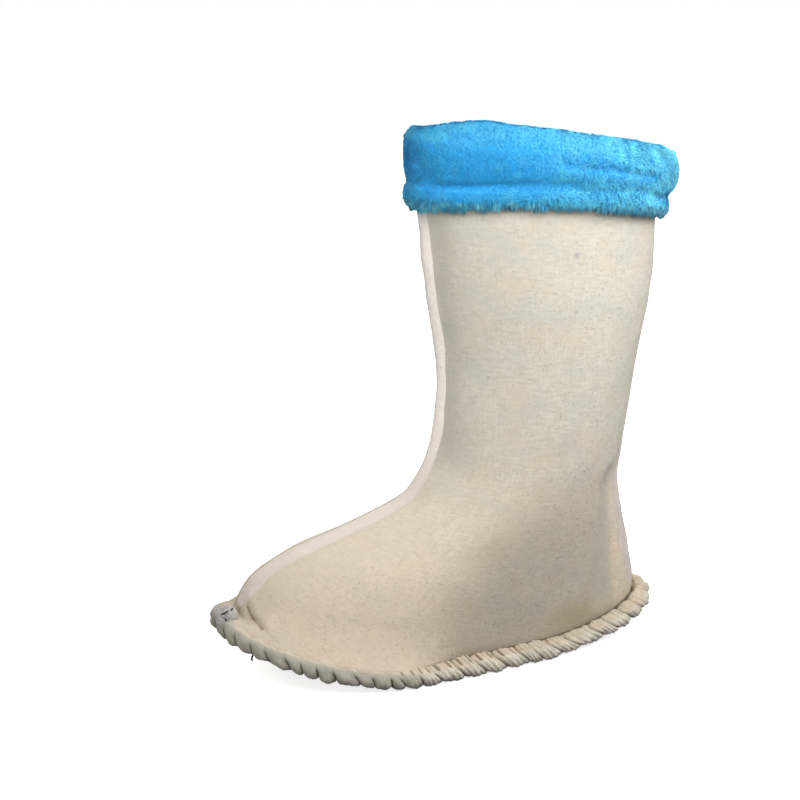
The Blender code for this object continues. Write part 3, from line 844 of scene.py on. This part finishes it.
# Toe knot
# The thread ends of the front seam are sewn down under a small tuft of pale felt at the tip of the toe, and
# one loose end of dark thread hangs from the edge beside it.
KNOT_LEVEL, KNOT_TURN = 0.27, np.radians(174.5)
KNOT_FACES = unit(np.array([0.30, 0.80, 0.52]))
KNOT_SIZE = np.array([6.4, 5.6, 4.2]) * MM
KNOT_RAISED = 1.8 * MM
KNOT_RINGS = 32
KNOT_COLUMNS = 64
KNOT_LUMPS = 0.9 * MM
KNOT_LUMP_SIZE = 4.2 * MM
KNOT_CREASES = 0.35 * MM
KNOT_CREASE_SIZE = 1.6 * MM
KNOT_FELT = Felt((0.54, 0.50, 0.465), (0.36, 0.335, 0.32), (0.44, 0.39, 0.36), (0.36, 0.36, 0.345))
THREAD_RADIUS = 0.42 * MM
THREAD_SIDES = 10
THREAD_DARK = (0.035, 0.03, 0.03)
KnotStitch = namedtuple("KnotStitch", "across along turn length bow")
KNOT_STITCHES = [
    KnotStitch(-1.1, 0.6, 24.0, 5.0, 0.7),
    KnotStitch(-0.2, -3.6, 150.0, 1.5, 0.2),
    KnotStitch(3.0, 3.0, 50.0, 1.7, 0.2),
]
LOOSE_END_TURN = np.radians(153)
LOOSE_END_RADIUS = 0.55 * MM
LOOSE_END = [(5.2, -3.2), (6.2, -3.9), (6.6, -4.9), (6.2, -6.0)]

knot_across = unit(np.cross(UP, KNOT_FACES))
knot_axes = np.array([knot_across, np.cross(KNOT_FACES, knot_across), KNOT_FACES])
knot_middle = felt_base(KNOT_LEVEL, KNOT_TURN) + KNOT_RAISED * KNOT_FACES


def knot_point(across, along_knot, depth, above=0.0):
    """A place on the crumpled ball in a direction given by its parts, or above it."""
    parts = unit(np.stack(np.broadcast_arrays(across, along_knot, depth), axis=-1))
    ball = (parts * KNOT_SIZE) @ knot_axes
    lumps = KNOT_LUMPS * soft_swell(ball, KNOT_LUMP_SIZE, 45)
    lumps = lumps + KNOT_CREASES * soft_swell(ball, KNOT_CREASE_SIZE, 46)
    return knot_middle + ball + (lumps + above)[..., None] * (parts @ knot_axes)


def thread(name, points, radius):
    """A round thread along a line of points, closed at its ends."""
    run = unit(np.gradient(points, axis=0))
    side = unit(np.cross(run, knot_across + 0.3 * UP))
    other = np.cross(run, side)
    turns = angles_round(THREAD_SIDES)[None, :, None]
    rings = points[:, None] + radius * (np.cos(turns) * side[:, None] + np.sin(turns) * other[:, None])
    return loft(name, rings, capped=True)


knot_steps = np.linspace(0.02, np.pi - 0.02, KNOT_RINGS)[:, None]
knot_turns = angles_round(KNOT_COLUMNS)[None, :]
knot_sides = np.sin(knot_steps) * np.cos(knot_turns), np.sin(knot_steps) * np.sin(knot_turns)
knot = loft("toe_knot", knot_point(*knot_sides, np.cos(knot_steps)), capped=True)
knot_felt, _ = felt_material("toe_knot_look", KNOT_FELT, 0.9)
dress(knot, knot_felt)
thread_look, _ = felt_material("dark_thread", Felt(*[THREAD_DARK] * 4), 0.3)
for number, stitch in enumerate(KNOT_STITCHES, 1):
    steps = np.linspace(-1, 1, 16)
    turn = np.radians(stitch.turn)
    reach = steps * stitch.length / 2
    across = (stitch.across + reach * np.cos(turn)) * MM / KNOT_SIZE[0]
    along_knot = (stitch.along + reach * np.sin(turn) + stitch.bow * steps**2) * MM / KNOT_SIZE[1]
    depth = np.sqrt(np.clip(1 - across**2 - along_knot**2, 0.04, None))
    above = THREAD_RADIUS * (0.8 - 2.0 * steps**4)
    piece = thread(f"knot_stitch_{number}", knot_point(across, along_knot, depth, above), THREAD_RADIUS)
    dress(piece, thread_look)
loose_out, loose_rise = np.array(LOOSE_END).T[..., None] * MM
loose_points = roll_centre(LOOSE_END_TURN) + loose_out * roll_outward(LOOSE_END_TURN) + loose_rise * UP
dress(thread("loose_thread_end", loose_points, LOOSE_END_RADIUS), thread_look)


# Footbed
# A loose plush insole on the sole inside the upper, blue like the lining, with its pile face up.
INSOLE_THICKNESS = 5.0 * MM
INSOLE_GAP = 0.6 * MM
INSOLE_INSET = EDGE_INSET + WALL + 1.0 * MM
INSOLE_ROUND = 3.0 * MM

footbed = sole_plate(
    "plush_footbed",
    INSOLE_INSET,
    INSOLE_INSET + INSOLE_ROUND,
    SOLE_THICKNESS + INSOLE_GAP,
    SOLE_THICKNESS + INSOLE_GAP + INSOLE_THICKNESS,
)
dress(footbed, plush_ground, "insole")


# Cuff
# The plush lining is turned out over the rim and hangs as a short skirt. Its hem is folded and sewn, which
# leaves a groove above the lower edge, and the fold over the rim stands up as a round thick roll.
CUFF_COLUMNS = 280
CUFF_LOOP_STEPS = 100
CUFF_HANG = 0.95
CUFF_SIDE_RISE = 0.22
CREST_BEGINS = -0.1
CrestPoint = namedtuple("CrestPoint", "along rise")
OUTER_CREST = [
    CrestPoint(0.00, -0.05),
    CrestPoint(0.12, -0.02),
    CrestPoint(0.25, 0.06),
    CrestPoint(0.45, 0.13),
    CrestPoint(0.62, 0.20),
    CrestPoint(0.80, 0.20),
    CrestPoint(0.96, 0.05),
    CrestPoint(1.00, -0.02),
]
INNER_CREST = [
    CrestPoint(0.00, -0.05),
    CrestPoint(0.06, -0.06),
    CrestPoint(0.15, -0.03),
    CrestPoint(0.70, -0.03),
    CrestPoint(0.82, -0.06),
    CrestPoint(0.92, -0.07),
    CrestPoint(1.00, -0.02),
]
CUFF_FACES_LEVEL = RIM - 0.1
CUFF_SWELL = 0.7 * MM
CUFF_SWELL_SIZE = 32 * MM
PILE_DEPTH = 1.7 * MM
CuffPoint = namedtuple("CuffPoint", "down back front")
CUFF_LOOP = [
    CuffPoint(0.36, -3.5, -3.5),
    CuffPoint(0.36, -7.5, -7.5),
    CuffPoint(0.12, -9.5, -9.5),
    CuffPoint(-0.14, -7.5, -7.5),
    CuffPoint(-0.25, -1.5, -1.5),
    CuffPoint(-0.20, 5.5, 3.2),
    CuffPoint(-0.05, 10.5, 5.8),
    CuffPoint(0.20, 13.0, 6.8),
    CuffPoint(0.45, 12.4, 6.8),
    CuffPoint(0.62, 10.0, 6.2),
    CuffPoint(0.72, 9.4, 8.0),
    CuffPoint(0.88, 8.6, 8.4),
    CuffPoint(1.03, 5.5, 5.4),
    CuffPoint(1.03, 1.6, 1.6),
    CuffPoint(0.95, 0.5, 0.5),
    CuffPoint(0.40, 0.5, 0.5),
    CuffPoint(-0.02, 0.5, 0.5),
    CuffPoint(-0.02, -3.5, -3.5),
]


def closed_curve(points, at):
    """A smooth closed curve through the points, read at places counted in points."""
    points = np.asarray(points, float)
    i = np.floor(at).astype(int)
    t = (at - i)[..., None]
    before, here, after, beyond = (points[(i + k) % len(points)] for k in (-1, 0, 1, 2))
    curve = 2 * here + (after - before) * t + (2 * before - 5 * here + 4 * after - beyond) * t**2
    return (curve + (3 * here - before - 3 * after + beyond) * t**3) / 2


def cuff_surface(at, angle):
    """The cuff's surface at a place along its loop, counted in rows of the table, and an angle round it."""
    at, angle = np.broadcast_arrays(at, angle)
    down, back, front = np.moveaxis(closed_curve(CUFF_LOOP, at), -1, 0)
    share = along(angle)
    side = np.sin(np.pi * share)
    hanging = smooth_step(-1, 0.5, back) * smooth_step(CREST_BEGINS, 0, down)
    outer_rise = curve_through(*np.array(OUTER_CREST).T, share)
    inner_rise = curve_through(*np.array(INNER_CREST).T, share)
    crest = np.where(np.sin(angle) > 0, outer_rise, inner_rise)
    down = down * mix(1, CUFF_HANG - CUFF_SIDE_RISE * side, hanging)
    down = down - crest * smooth_step(CREST_BEGINS, 2 * CREST_BEGINS, down)
    on_felt = upper_surface(RIM - np.clip(down, 0, None), angle)
    climb = upper_surface(RIM, angle) - upper_surface(RIM - 1, angle)
    base = on_felt + np.clip(-down, 0, None)[..., None] * climb
    return base + (mix(back, front, share) * MM)[..., None] * upper_outward(CUFF_FACES_LEVEL, angle)


# Folds of the cuff, each along a line of (place along the loop, degrees round): the sewn hem in four runs,
# the pinch towards the back of the outer side, and the dent at the front.
CUFF_CREASES = [
    Crease([(8.2, 92), (8.5, 123), (9.2, 152)], 2.3, 1.4),
    Crease([(9.3, 158), (9.5, 180), (9.3, 202)], 2.3, 0.3),
    Crease([(9.2, 208), (8.5, 237), (8.2, 268)], 2.3, 1.4),
    Crease([(9.0, 53), (9.8, 43), (9.4, 0), (9.8, -43), (9.0, -53)], 2.2, 1.5),
    Crease([(6.7, 96), (6.9, 80), (7.2, 64), (7.3, 54)], 2.6, 2.0),
    Crease([(7.2, 169), (7.9, 163), (8.6, 160)], 7.0, 2.4),
]
FACE_STEP = 0.01


def cuff_face(at, angle):
    """The ground under the cuff's pile, with its folds, and the ways out of it, down it and round it."""
    at, angle = np.broadcast_arrays(at, angle)
    face = cuff_surface(at, angle)
    down_way = unit(cuff_surface(at + FACE_STEP, angle) - cuff_surface(at - FACE_STEP, angle))
    round_way = unit(cuff_surface(at, angle + FACE_STEP) - cuff_surface(at, angle - FACE_STEP))
    out = unit(np.cross(round_way, down_way))
    swell = CUFF_SWELL * soft_swell(face, CUFF_SWELL_SIZE, 24)
    depth = PILE_DEPTH + crease_depth(face, CUFF_CREASES, cuff_surface) - swell
    return face - depth[..., None] * out, out, down_way, round_way


loop_places = np.arange(CUFF_LOOP_STEPS) * len(CUFF_LOOP) / CUFF_LOOP_STEPS
cuff_rings, *_ = cuff_face(loop_places[:, None], angles_round(CUFF_COLUMNS)[None, :])
cuff = loft("plush_cuff", cuff_rings, joined=True)
dress(cuff, plush_ground, "cuff")


# Pile of the cuff
# Short dense plush pile, brushed downwards, paler at its tips than at its roots and paler towards the heel,
# partly in its own tone and partly as painted light. Painted light pales it over the crest and on the hem,
# and painted shade darkens it in the folds, where it is also shorter. It lies flatter over the crest and at
# the two ends.
PILE_STRANDS = 60000
PILE_PIECES = 2
PILE_LENGTH = 3.6 * MM
PILE_WIDTH = 0.42 * MM
STRAND_STEPS = 2
PILE_FIRST, PILE_LAST = 1.0, 13.0
PILE_DEEP = (0.025, 0.32, 0.74)
PILE_MIDDLE = (0.03, 0.45, 0.90)
PILE_TIP = (0.20, 0.86, 0.98)
PALER_FROM, PALER_TO = 0.01, -0.13
CREST_PLACES = (6.2, 5.0)
HEM_PLACES = (8.4, 9.4)
EDGE_PLACES = (10.8, 12.4)
END_SHARES = (0.2, 0.7)
# Tone shares: paler towards the heel partly as painted light, and painted light over the crest and on the
# hem
BASE_TONE, PALER_AND_LIT_TONE, CREST_PAINTED_LIGHT, HEM_PAINTED_LIGHT = 0.12, 0.80, 0.4, 0.1
TONE_SPREAD = 0.18
CREASE_SHADE = 0.10 / MM
CREASE_SHORTENS = 3 * MM
PILE_LIFT = 0.8
PILE_LYING = 0.38
PILE_ROUGHNESS, PILE_GLOSS = 0.7, 0.25
PILE_SHEEN, PILE_SHEEN_ROUGHNESS = 0.1, 0.5


def strands(name, roots, outs, ways, lengths, widths, lifts, tones, draw, faces=None):
    """Tapered blades, each rising from its root and bending over to its way, shaded as if they faced outs
    or faces. Their map named OFBake holds the tone of each blade and the share of its length."""
    faces = outs if faces is None else faces
    count = len(roots)
    sideways = unit(np.cross(outs, ways) + 0.25 * draw.normal(size=(count, 3)))
    share = np.linspace(0, 1, STRAND_STEPS + 1)
    turn = lifts[:, None] * (1 - share[None, :] * 0.75)
    heading = np.cos(turn)[..., None] * ways[:, None] + np.sin(turn)[..., None] * outs[:, None]
    stride = heading[:, :-1] * (lengths / STRAND_STEPS)[:, None, None]
    spine = roots[:, None] + np.concatenate([0 * stride[:, :1], np.cumsum(stride, axis=1)], axis=1)
    half = (widths[:, None] * (1 - share[:-1] ** 2) / 2)[..., None] * sideways[:, None]
    left, right = spine[:, :-1] - half, spine[:, :-1] + half
    pairs = np.stack([left, right], axis=2).reshape(count, -1, 3)
    points = np.concatenate([pairs, spine[:, -1:]], axis=1)
    points[..., 2] = np.maximum(points[..., 2], 0.0)
    each = points.shape[1]
    first = (np.arange(count) * each)[:, None, None]
    rung = 2 * np.arange(STRAND_STEPS - 1)[None, :, None]
    quads = (first + rung + np.array([0, 2, 3, 1])).reshape(-1, 4)
    tips = (first[:, 0] + each - 3 + np.array([0, 2, 1])).reshape(-1, 3)
    mesh = bpy.data.meshes.new(name)
    mesh.from_pydata(points.reshape(-1, 3).tolist(), [], quads.tolist() + tips.tolist())
    tone = np.repeat(tones, each)
    length = np.tile(np.append(np.repeat(share[:-1], 2), 1.0), count)
    corners = np.concatenate([quads.ravel(), tips.ravel()])
    places = np.stack([tone[corners], length[corners]], axis=-1).astype(np.float32)
    mesh.uv_layers.new(name="OFBake").uv.foreach_set("vector", places.ravel())
    mesh.shade_smooth()
    soft = unit(faces[:, None] + 0.35 * heading[:, [0]] + 0.25 * draw.normal(size=(count, 1, 3)))
    normals = np.broadcast_to(soft, (count, each, 3)).reshape(-1, 3)
    mesh.normals_split_custom_set_from_vertices(normals.tolist())
    return placed(name, mesh)


def pile_material(name, deep, middle, tip):
    """Plush pile, from its shaded roots to its pale tips, each strand a little lighter or darker."""
    material, tree, shader = new_material(name, PILE_ROUGHNESS, PILE_GLOSS)
    spot = add_node(tree, "ShaderNodeUVMap", uv_map="OFBake").outputs[0]
    parts = add_node(tree, "ShaderNodeSeparateXYZ", {0: spot})
    tone, length = parts.outputs["X"], parts.outputs["Y"]
    colour = mixed(tree, ramped(tree, length, -0.4, 0.6), deep, middle)
    pale = {0: ramped(tree, length, 0.1, 0.9), 1: tone}
    paling = add_node(tree, "ShaderNodeMath", pale, operation="MULTIPLY").outputs[0]
    colour = mixed(tree, paling, colour, tip)
    shader.inputs["Sheen Weight"].default_value = PILE_SHEEN
    shader.inputs["Sheen Roughness"].default_value = PILE_SHEEN_ROUGHNESS
    tree.links.new(colour, shader.inputs["Base Color"])
    return material


pile = pile_material("plush_pile", PILE_DEEP, PILE_MIDDLE, PILE_TIP)
pile_places = np.linspace(PILE_FIRST, PILE_LAST, 200)
pile_strides = np.linalg.norm(np.diff(cuff_surface(pile_places, np.pi / 2), axis=0), axis=1)
pile_run = np.pad(np.cumsum(pile_strides), (1, 0))
for index in range(PILE_PIECES):
    draw = np.random.default_rng(51 + index)
    at = np.interp(draw.uniform(0, pile_run[-1], PILE_STRANDS), pile_run, pile_places)
    angle = draw.uniform(0, 2 * np.pi, PILE_STRANDS)
    roots, outs, down_way, round_way = cuff_face(at, angle)
    brushed = 0.6 * soft_swell(roots, 14 * MM, 61) + 0.5 * soft_swell(roots, 4 * MM, 62)
    loose = 0.6 * draw.normal(size=(2, PILE_STRANDS, 1))
    edge = smooth_step(*EDGE_PLACES, at)
    downward = 0.7 + loose[0] * (1 - edge[:, None])
    ways = unit(downward * down_way + (brushed[:, None] + loose[1]) * round_way)
    tufted = 1 + 0.2 * soft_swell(roots, 6 * MM, 63)
    lengths = PILE_LENGTH * draw.uniform(0.7, 1.15, PILE_STRANDS) * tufted
    folded = crease_depth(cuff_surface(at, angle), CUFF_CREASES, cuff_surface)
    lengths = lengths * mix(1, 0.75, edge) / (1 + folded / CREASE_SHORTENS)
    widths = PILE_WIDTH * draw.uniform(0.7, 1.2, PILE_STRANDS)
    crest = smooth_step(*CREST_PLACES, at)
    lying = np.maximum.reduce([edge, crest, smooth_step(*END_SHARES, np.abs(np.cos(angle)))])
    lifts = mix(PILE_LIFT, PILE_LYING, lying) + 0.2 * mix(1, 0.5, lying) * draw.normal(size=PILE_STRANDS)
    # Paler towards the heel: partly the pile's own tone, partly painted light on that side
    paler = smooth_step(PALER_FROM, PALER_TO, roots[:, 0])
    patches = 0.14 * soft_swell(roots, 5 * MM, 64) + 0.1 * soft_swell(roots, 18 * MM, 65)
    hem = smooth_step(*HEM_PLACES, at)
    # Painted light over the crest and on the hem, and painted shade in the folds
    tones = BASE_TONE + PALER_AND_LIT_TONE * paler + CREST_PAINTED_LIGHT * crest + HEM_PAINTED_LIGHT * hem
    tones = tones + patches - CREASE_SHADE * folded
    tones = np.clip(tones + draw.uniform(-TONE_SPREAD, TONE_SPREAD, PILE_STRANDS), 0, 1)
    outer_way = upper_outward(CUFF_FACES_LEVEL, angle)
    turned_out = np.maximum(crest * smooth_step(3.4, 4.4, at), 0.8 * smooth_step(7.6, 8.8, at) * paler)
    faces = unit(mix(outs, outer_way + 0.4 * UP, turned_out[:, None]))
    blades = (roots, outs, ways, lengths, widths, lifts, tones, draw, faces)
    dress(strands(f"cuff_pile_{index + 1}", *blades), pile)


# Fringe of the cuff
# The cut edge of the plush hangs in ragged locks past the hem, greenish and pale at the tips, with dark
# gaps between them.
FRINGE_STRANDS = 9000
FRINGE_FIRST, FRINGE_LAST = 10.8, 12.5
FRINGE_LENGTH = 5.6 * MM
FRINGE_WIDTH = 0.62 * MM
FRINGE_DEEP = (0.012, 0.11, 0.26)
FRINGE_MIDDLE = (0.05, 0.42, 0.74)
FRINGE_TIP = (0.26, 0.78, 0.84)
FRINGE_TONE = 0.42
HANG_PLACES = (11.2, 12.2)
LOW_PLACES = (11.0, 12.2)

draw = np.random.default_rng(66)
at = draw.uniform(FRINGE_FIRST, FRINGE_LAST, FRINGE_STRANDS)
angle = draw.uniform(0, 2 * np.pi, FRINGE_STRANDS)
roots, outs, down_way, round_way = cuff_face(at, angle)
locks = 0.8 * soft_swell(roots, 2.6 * MM, 67)
hanging = unit(mix(down_way, -UP, smooth_step(*HANG_PLACES, at)[:, None]))
ways = unit(hanging + (locks + 0.12 * draw.normal(size=FRINGE_STRANDS))[:, None] * round_way)
tufted = 1 + 0.3 * soft_swell(roots, 3.5 * MM, 68)
low = smooth_step(*LOW_PLACES, at)
lengths = FRINGE_LENGTH * draw.uniform(0.7, 1.1, FRINGE_STRANDS) * tufted * mix(1, 0.6, low)
widths = FRINGE_WIDTH * draw.uniform(0.6, 1.2, FRINGE_STRANDS)
lifts = mix(0.45, 0.1, low) + 0.15 * draw.normal(size=FRINGE_STRANDS)
tones = FRINGE_TONE + 0.4 * soft_swell(roots, 3.0 * MM, 69)
tones = np.clip(tones + draw.uniform(-0.2, 0.2, FRINGE_STRANDS), 0, 1)
fringe_pile = pile_material("plush_fringe", FRINGE_DEEP, FRINGE_MIDDLE, FRINGE_TIP)
blades = (roots, outs, ways, lengths, widths, lifts, tones, draw)
dress(strands("cuff_fringe", *blades), fringe_pile)


# Lining and footbed pile
# The same plush, with longer loose pile, lines the shaft and covers the footbed.
LINING_STRANDS = 15000
LINING_PILE_FROM = 130 * MM
FOOTBED_STRANDS = 8000
LINING_LENGTH = 5.0 * MM
LINING_WIDTH = 0.7 * MM
LINING_LIFT = 0.7
LINING_LAY = (0, 0, 1.5)
FACING_UP = 0.3


def scatter(piece, count, draw, worth):
    """Points spread evenly over the faces of a piece that worth chooses, by their middles, normals and
    materials, and the directions out of it there."""
    mesh = piece.data
    mesh.calc_loop_triangles()
    number = len(mesh.loop_triangles)
    read = {"vertices": (3, np.int32), "area": (1, np.float32), "material_index": (1, np.int32)}
    found = {}
    for label, (size, kind) in read.items():
        found[label] = np.empty(number * size, kind)
        mesh.loop_triangles.foreach_get(label, found[label])
    corners = found["vertices"].reshape(-1, 3)
    points, normals = np.empty((2, len(mesh.vertices) * 3), np.float32)
    mesh.vertices.foreach_get("co", points)
    mesh.vertices.foreach_get("normal", normals)
    points, normals = points.reshape(-1, 3)[corners], normals.reshape(-1, 3)[corners]
    weight = found["area"] * worth(points.mean(axis=1), normals.mean(axis=1), found["material_index"])
    chosen = draw.choice(number, count, p=weight / weight.sum(dtype=float))
    shares = draw.dirichlet((1, 1, 1), count)[..., None]
    return (points[chosen] * shares).sum(axis=1), unit((normals[chosen] * shares).sum(axis=1))


def loose_strands(name, piece, count, draw, worth, length, width, lift, lay=(0, 0, 0), soil_and_shade_heights=(-1, 0)):
    """Strands spread over a piece, lying every way, or mostly along lay, and darker between two heights."""
    roots, outs = scatter(piece, count, draw, worth)
    ways = np.asarray(lay) + draw.normal(size=(count, 3))
    ways = unit(ways - (ways * outs).sum(axis=1, keepdims=True) * outs)
    lengths = length * draw.uniform(0.6, 1.2, count)
    widths = width * draw.uniform(0.7, 1.2, count)
    lifts = lift * (1 + 0.35 * draw.normal(size=count))
    # Darker below the given heights: partly soiling, partly painted shade
    tones = draw.uniform(0, 1, count) * smooth_step(*soil_and_shade_heights, roots[:, 2])
    return strands(name, roots, outs, ways, lengths, widths, lifts, tones, draw)


def lining_worth(middle, normal, kind):
    return (kind == 1) * (middle[:, 2] > LINING_PILE_FROM)


def upward_worth(middle, normal, kind):
    return normal[:, 2] > FACING_UP


draw = np.random.default_rng(71)
size = (LINING_LENGTH, LINING_WIDTH, LINING_LIFT)
lining_pile = loose_strands("lining_pile", upper, LINING_STRANDS, draw, lining_worth, *size, lay=LINING_LAY)
dress(lining_pile, pile)
footbed_pile = loose_strands("footbed_pile", footbed, FOOTBED_STRANDS, draw, upward_worth, *size)
dress(footbed_pile, pile)


# Nap of the felt
# Loose wool fibres that the brush raised on the panels, the seam bands and the overcast yarn. They soften
# every edge of the felt.
NAP_STRANDS = 40000
BAND_NAP_STRANDS = 7000
ROLL_NAP_STRANDS = 9000
NAP_LENGTH = 1.5 * MM
NAP_WIDTH = 0.16 * MM
NAP_LIFT = 0.3
# Nap low on the boot takes the darker end of its tones, like the felt under it: partly soiling, partly
# painted shade
NAP_SOIL_AND_SHADE = (0.02, 0.16)
NAP_SHADE = 0.78


def nap_material(name, felt):
    """Single wool fibres of a felt, from its shade to its pale colour."""
    material, tree, shader = new_material(name, FELT_ROUGHNESS, FELT_GLOSS)
    spot = add_node(tree, "ShaderNodeUVMap", uv_map="OFBake").outputs[0]
    tone = add_node(tree, "ShaderNodeSeparateXYZ", {0: spot}).outputs["X"]
    shade = [NAP_SHADE * part for part in felt.shade]
    tree.links.new(mixed(tree, tone, shade, felt.pale), shader.inputs["Base Color"])
    return material


def outer_worth(middle, normal, kind):
    return kind == 0


def band_worth(middle, normal, kind):
    return np.ones(len(kind))


nap_pieces = [
    ("felt_nap", "felt_upper", NAP_STRANDS, CREAM_FELT, outer_worth, "felt_cream"),
    ("roll_nap", "overcast_roll", ROLL_NAP_STRANDS, ROLL_FELT, band_worth, "felt_edge"),
    ("front_band_nap", "felt_front_seam_band", BAND_NAP_STRANDS, BAND_FELT, band_worth, "felt_seam"),
    ("back_band_nap", "felt_back_seam_band", BAND_NAP_STRANDS, BAND_FELT, band_worth, "felt_seam"),
]
draw = np.random.default_rng(81)
for name, ground, count, colours, worth, slot in nap_pieces:
    size = (NAP_LENGTH, NAP_WIDTH, NAP_LIFT)
    fibres = loose_strands(name, bpy.data.objects[ground], count, draw, worth, *size, soil_and_shade_heights=NAP_SOIL_AND_SHADE)
    dress(fibres, nap_material(name + "_look", colours))


# Floor, light and camera
# A plain white studio floor, soft lamps in an arc above the camera's side, a broad low fill from the toe, a
# back lamp and a weak fill that lifts the shade within the pile, seen from the photo's angle.
FLOOR_SIDE = 40.0
FLOOR_WHITE = 0.97
FLOOR_BOUNCE = 0.18
FLOOR_GLOW = 0.75
FLOOR_LIGHT = 2.3
FLOOR_LIGHT_SPREAD = np.radians(120)
SKY = 0.12
LAMPS_AIM = (-0.05, 0.0, 0.17)
Lamp = namedtuple("Lamp", "name azimuth elevation distance size power")
LAMPS = [
    Lamp("pile_fill", 140, 45, 0.60, 0.50, 0.64),
    Lamp("lamp_camera_side", 70, 35, 0.55, 0.30, 2.15),
    Lamp("lamp_outer_side", 115, 35, 0.55, 0.30, 0.95),
    Lamp("lamp_heel_side", 155, 38, 0.55, 0.30, 1.40),
    Lamp("lamp_above", 95, 78, 0.60, 0.40, 0.50),
    Lamp("fill_from_toe", -3, 5, 2.5, 1.2, 17.0),
    Lamp("lamp_behind", 250, 45, 2.5, 1.2, 25.0),
]
CAMERA_AT = (0.3325, 0.8127, 0.3876)
CAMERA_AIM = (0.02374, 0.0, 0.15471)
CAMERA_LENS = 70.72
CAMERA_SENSOR = 36.0


def looking(at, aim):
    """The rotation of a camera or lamp that stands at one point and looks at another."""
    return Vector(np.subtract(aim, at)).to_track_quat("-Z", "Y").to_euler()


def stand_lamp(row):
    """A square lamp that shines at the boot from its place in the table. Returns it."""
    light = bpy.data.lights.new(row.name, "AREA")
    light.energy = row.power
    light.size = row.size
    turn, lift = np.radians((row.azimuth, row.elevation))
    way = np.array([np.cos(turn) * np.cos(lift), np.sin(turn) * np.cos(lift), np.sin(lift)])
    lamp = placed(row.name, light)
    lamp.location = LAMPS_AIM + row.distance * way
    lamp.rotation_euler = looking(lamp.location, LAMPS_AIM)
    return lamp


scene = bpy.context.scene
bpy.ops.mesh.primitive_plane_add(size=FLOOR_SIDE)
floor = bpy.context.object
floor.name = "studio_floor"
paint, tree, shader = new_material("studio_white", 1.0, 0.0)
seen = add_node(tree, "ShaderNodeLightPath").outputs["Is Camera Ray"]
tree.links.new(mixed(tree, seen, [FLOOR_BOUNCE] * 3, [FLOOR_WHITE] * 3), shader.inputs["Base Color"])
tree.links.new(mixed(tree, seen, [0.0] * 3, [FLOOR_GLOW] * 3), shader.inputs["Emission Color"])
shader.inputs["Emission Strength"].default_value = 1.0
floor.data.materials.append(paint)

world = bpy.data.worlds.new("studio_sky")
scene.world = world
world.use_nodes = True
backdrop = world.node_tree.nodes["Background"]
seen = add_node(world.node_tree, "ShaderNodeLightPath").outputs["Is Camera Ray"]
strength = ramped(world.node_tree, seen, 0.0, 1.0, SKY, 1.0)
world.node_tree.links.new(strength, backdrop.inputs["Strength"])
backdrop.inputs["Color"].default_value = (1.0, 1.0, 1.0, 1.0)
pile_only = bpy.data.collections.new("pile_only")
for label in ("cuff_pile_1", "cuff_pile_2", "cuff_fringe", "plush_cuff"):
    pile_only.objects.link(bpy.data.objects[label])
pile_fill = stand_lamp(LAMPS[0])
pile_fill.data.use_shadow = False
pile_fill.light_linking.receiver_collection = pile_only
for row in LAMPS[1:]:
    stand_lamp(row)
floor_light = bpy.data.lights.new("floor_light", "SUN")
floor_light.energy = FLOOR_LIGHT
floor_light.angle = FLOOR_LIGHT_SPREAD
overhead = placed("floor_light", floor_light)
floor_only = bpy.data.collections.new("floor_only")
floor_only.objects.link(floor)
overhead.light_linking.receiver_collection = floor_only

camera = bpy.data.cameras.new("photo_camera")
camera.lens = CAMERA_LENS
camera.sensor_width = CAMERA_SENSOR
eye = placed("photo_camera", camera)
eye.location = CAMERA_AT
eye.rotation_euler = looking(CAMERA_AT, CAMERA_AIM)
scene.camera = eye
scene.view_settings.view_transform = "Standard"
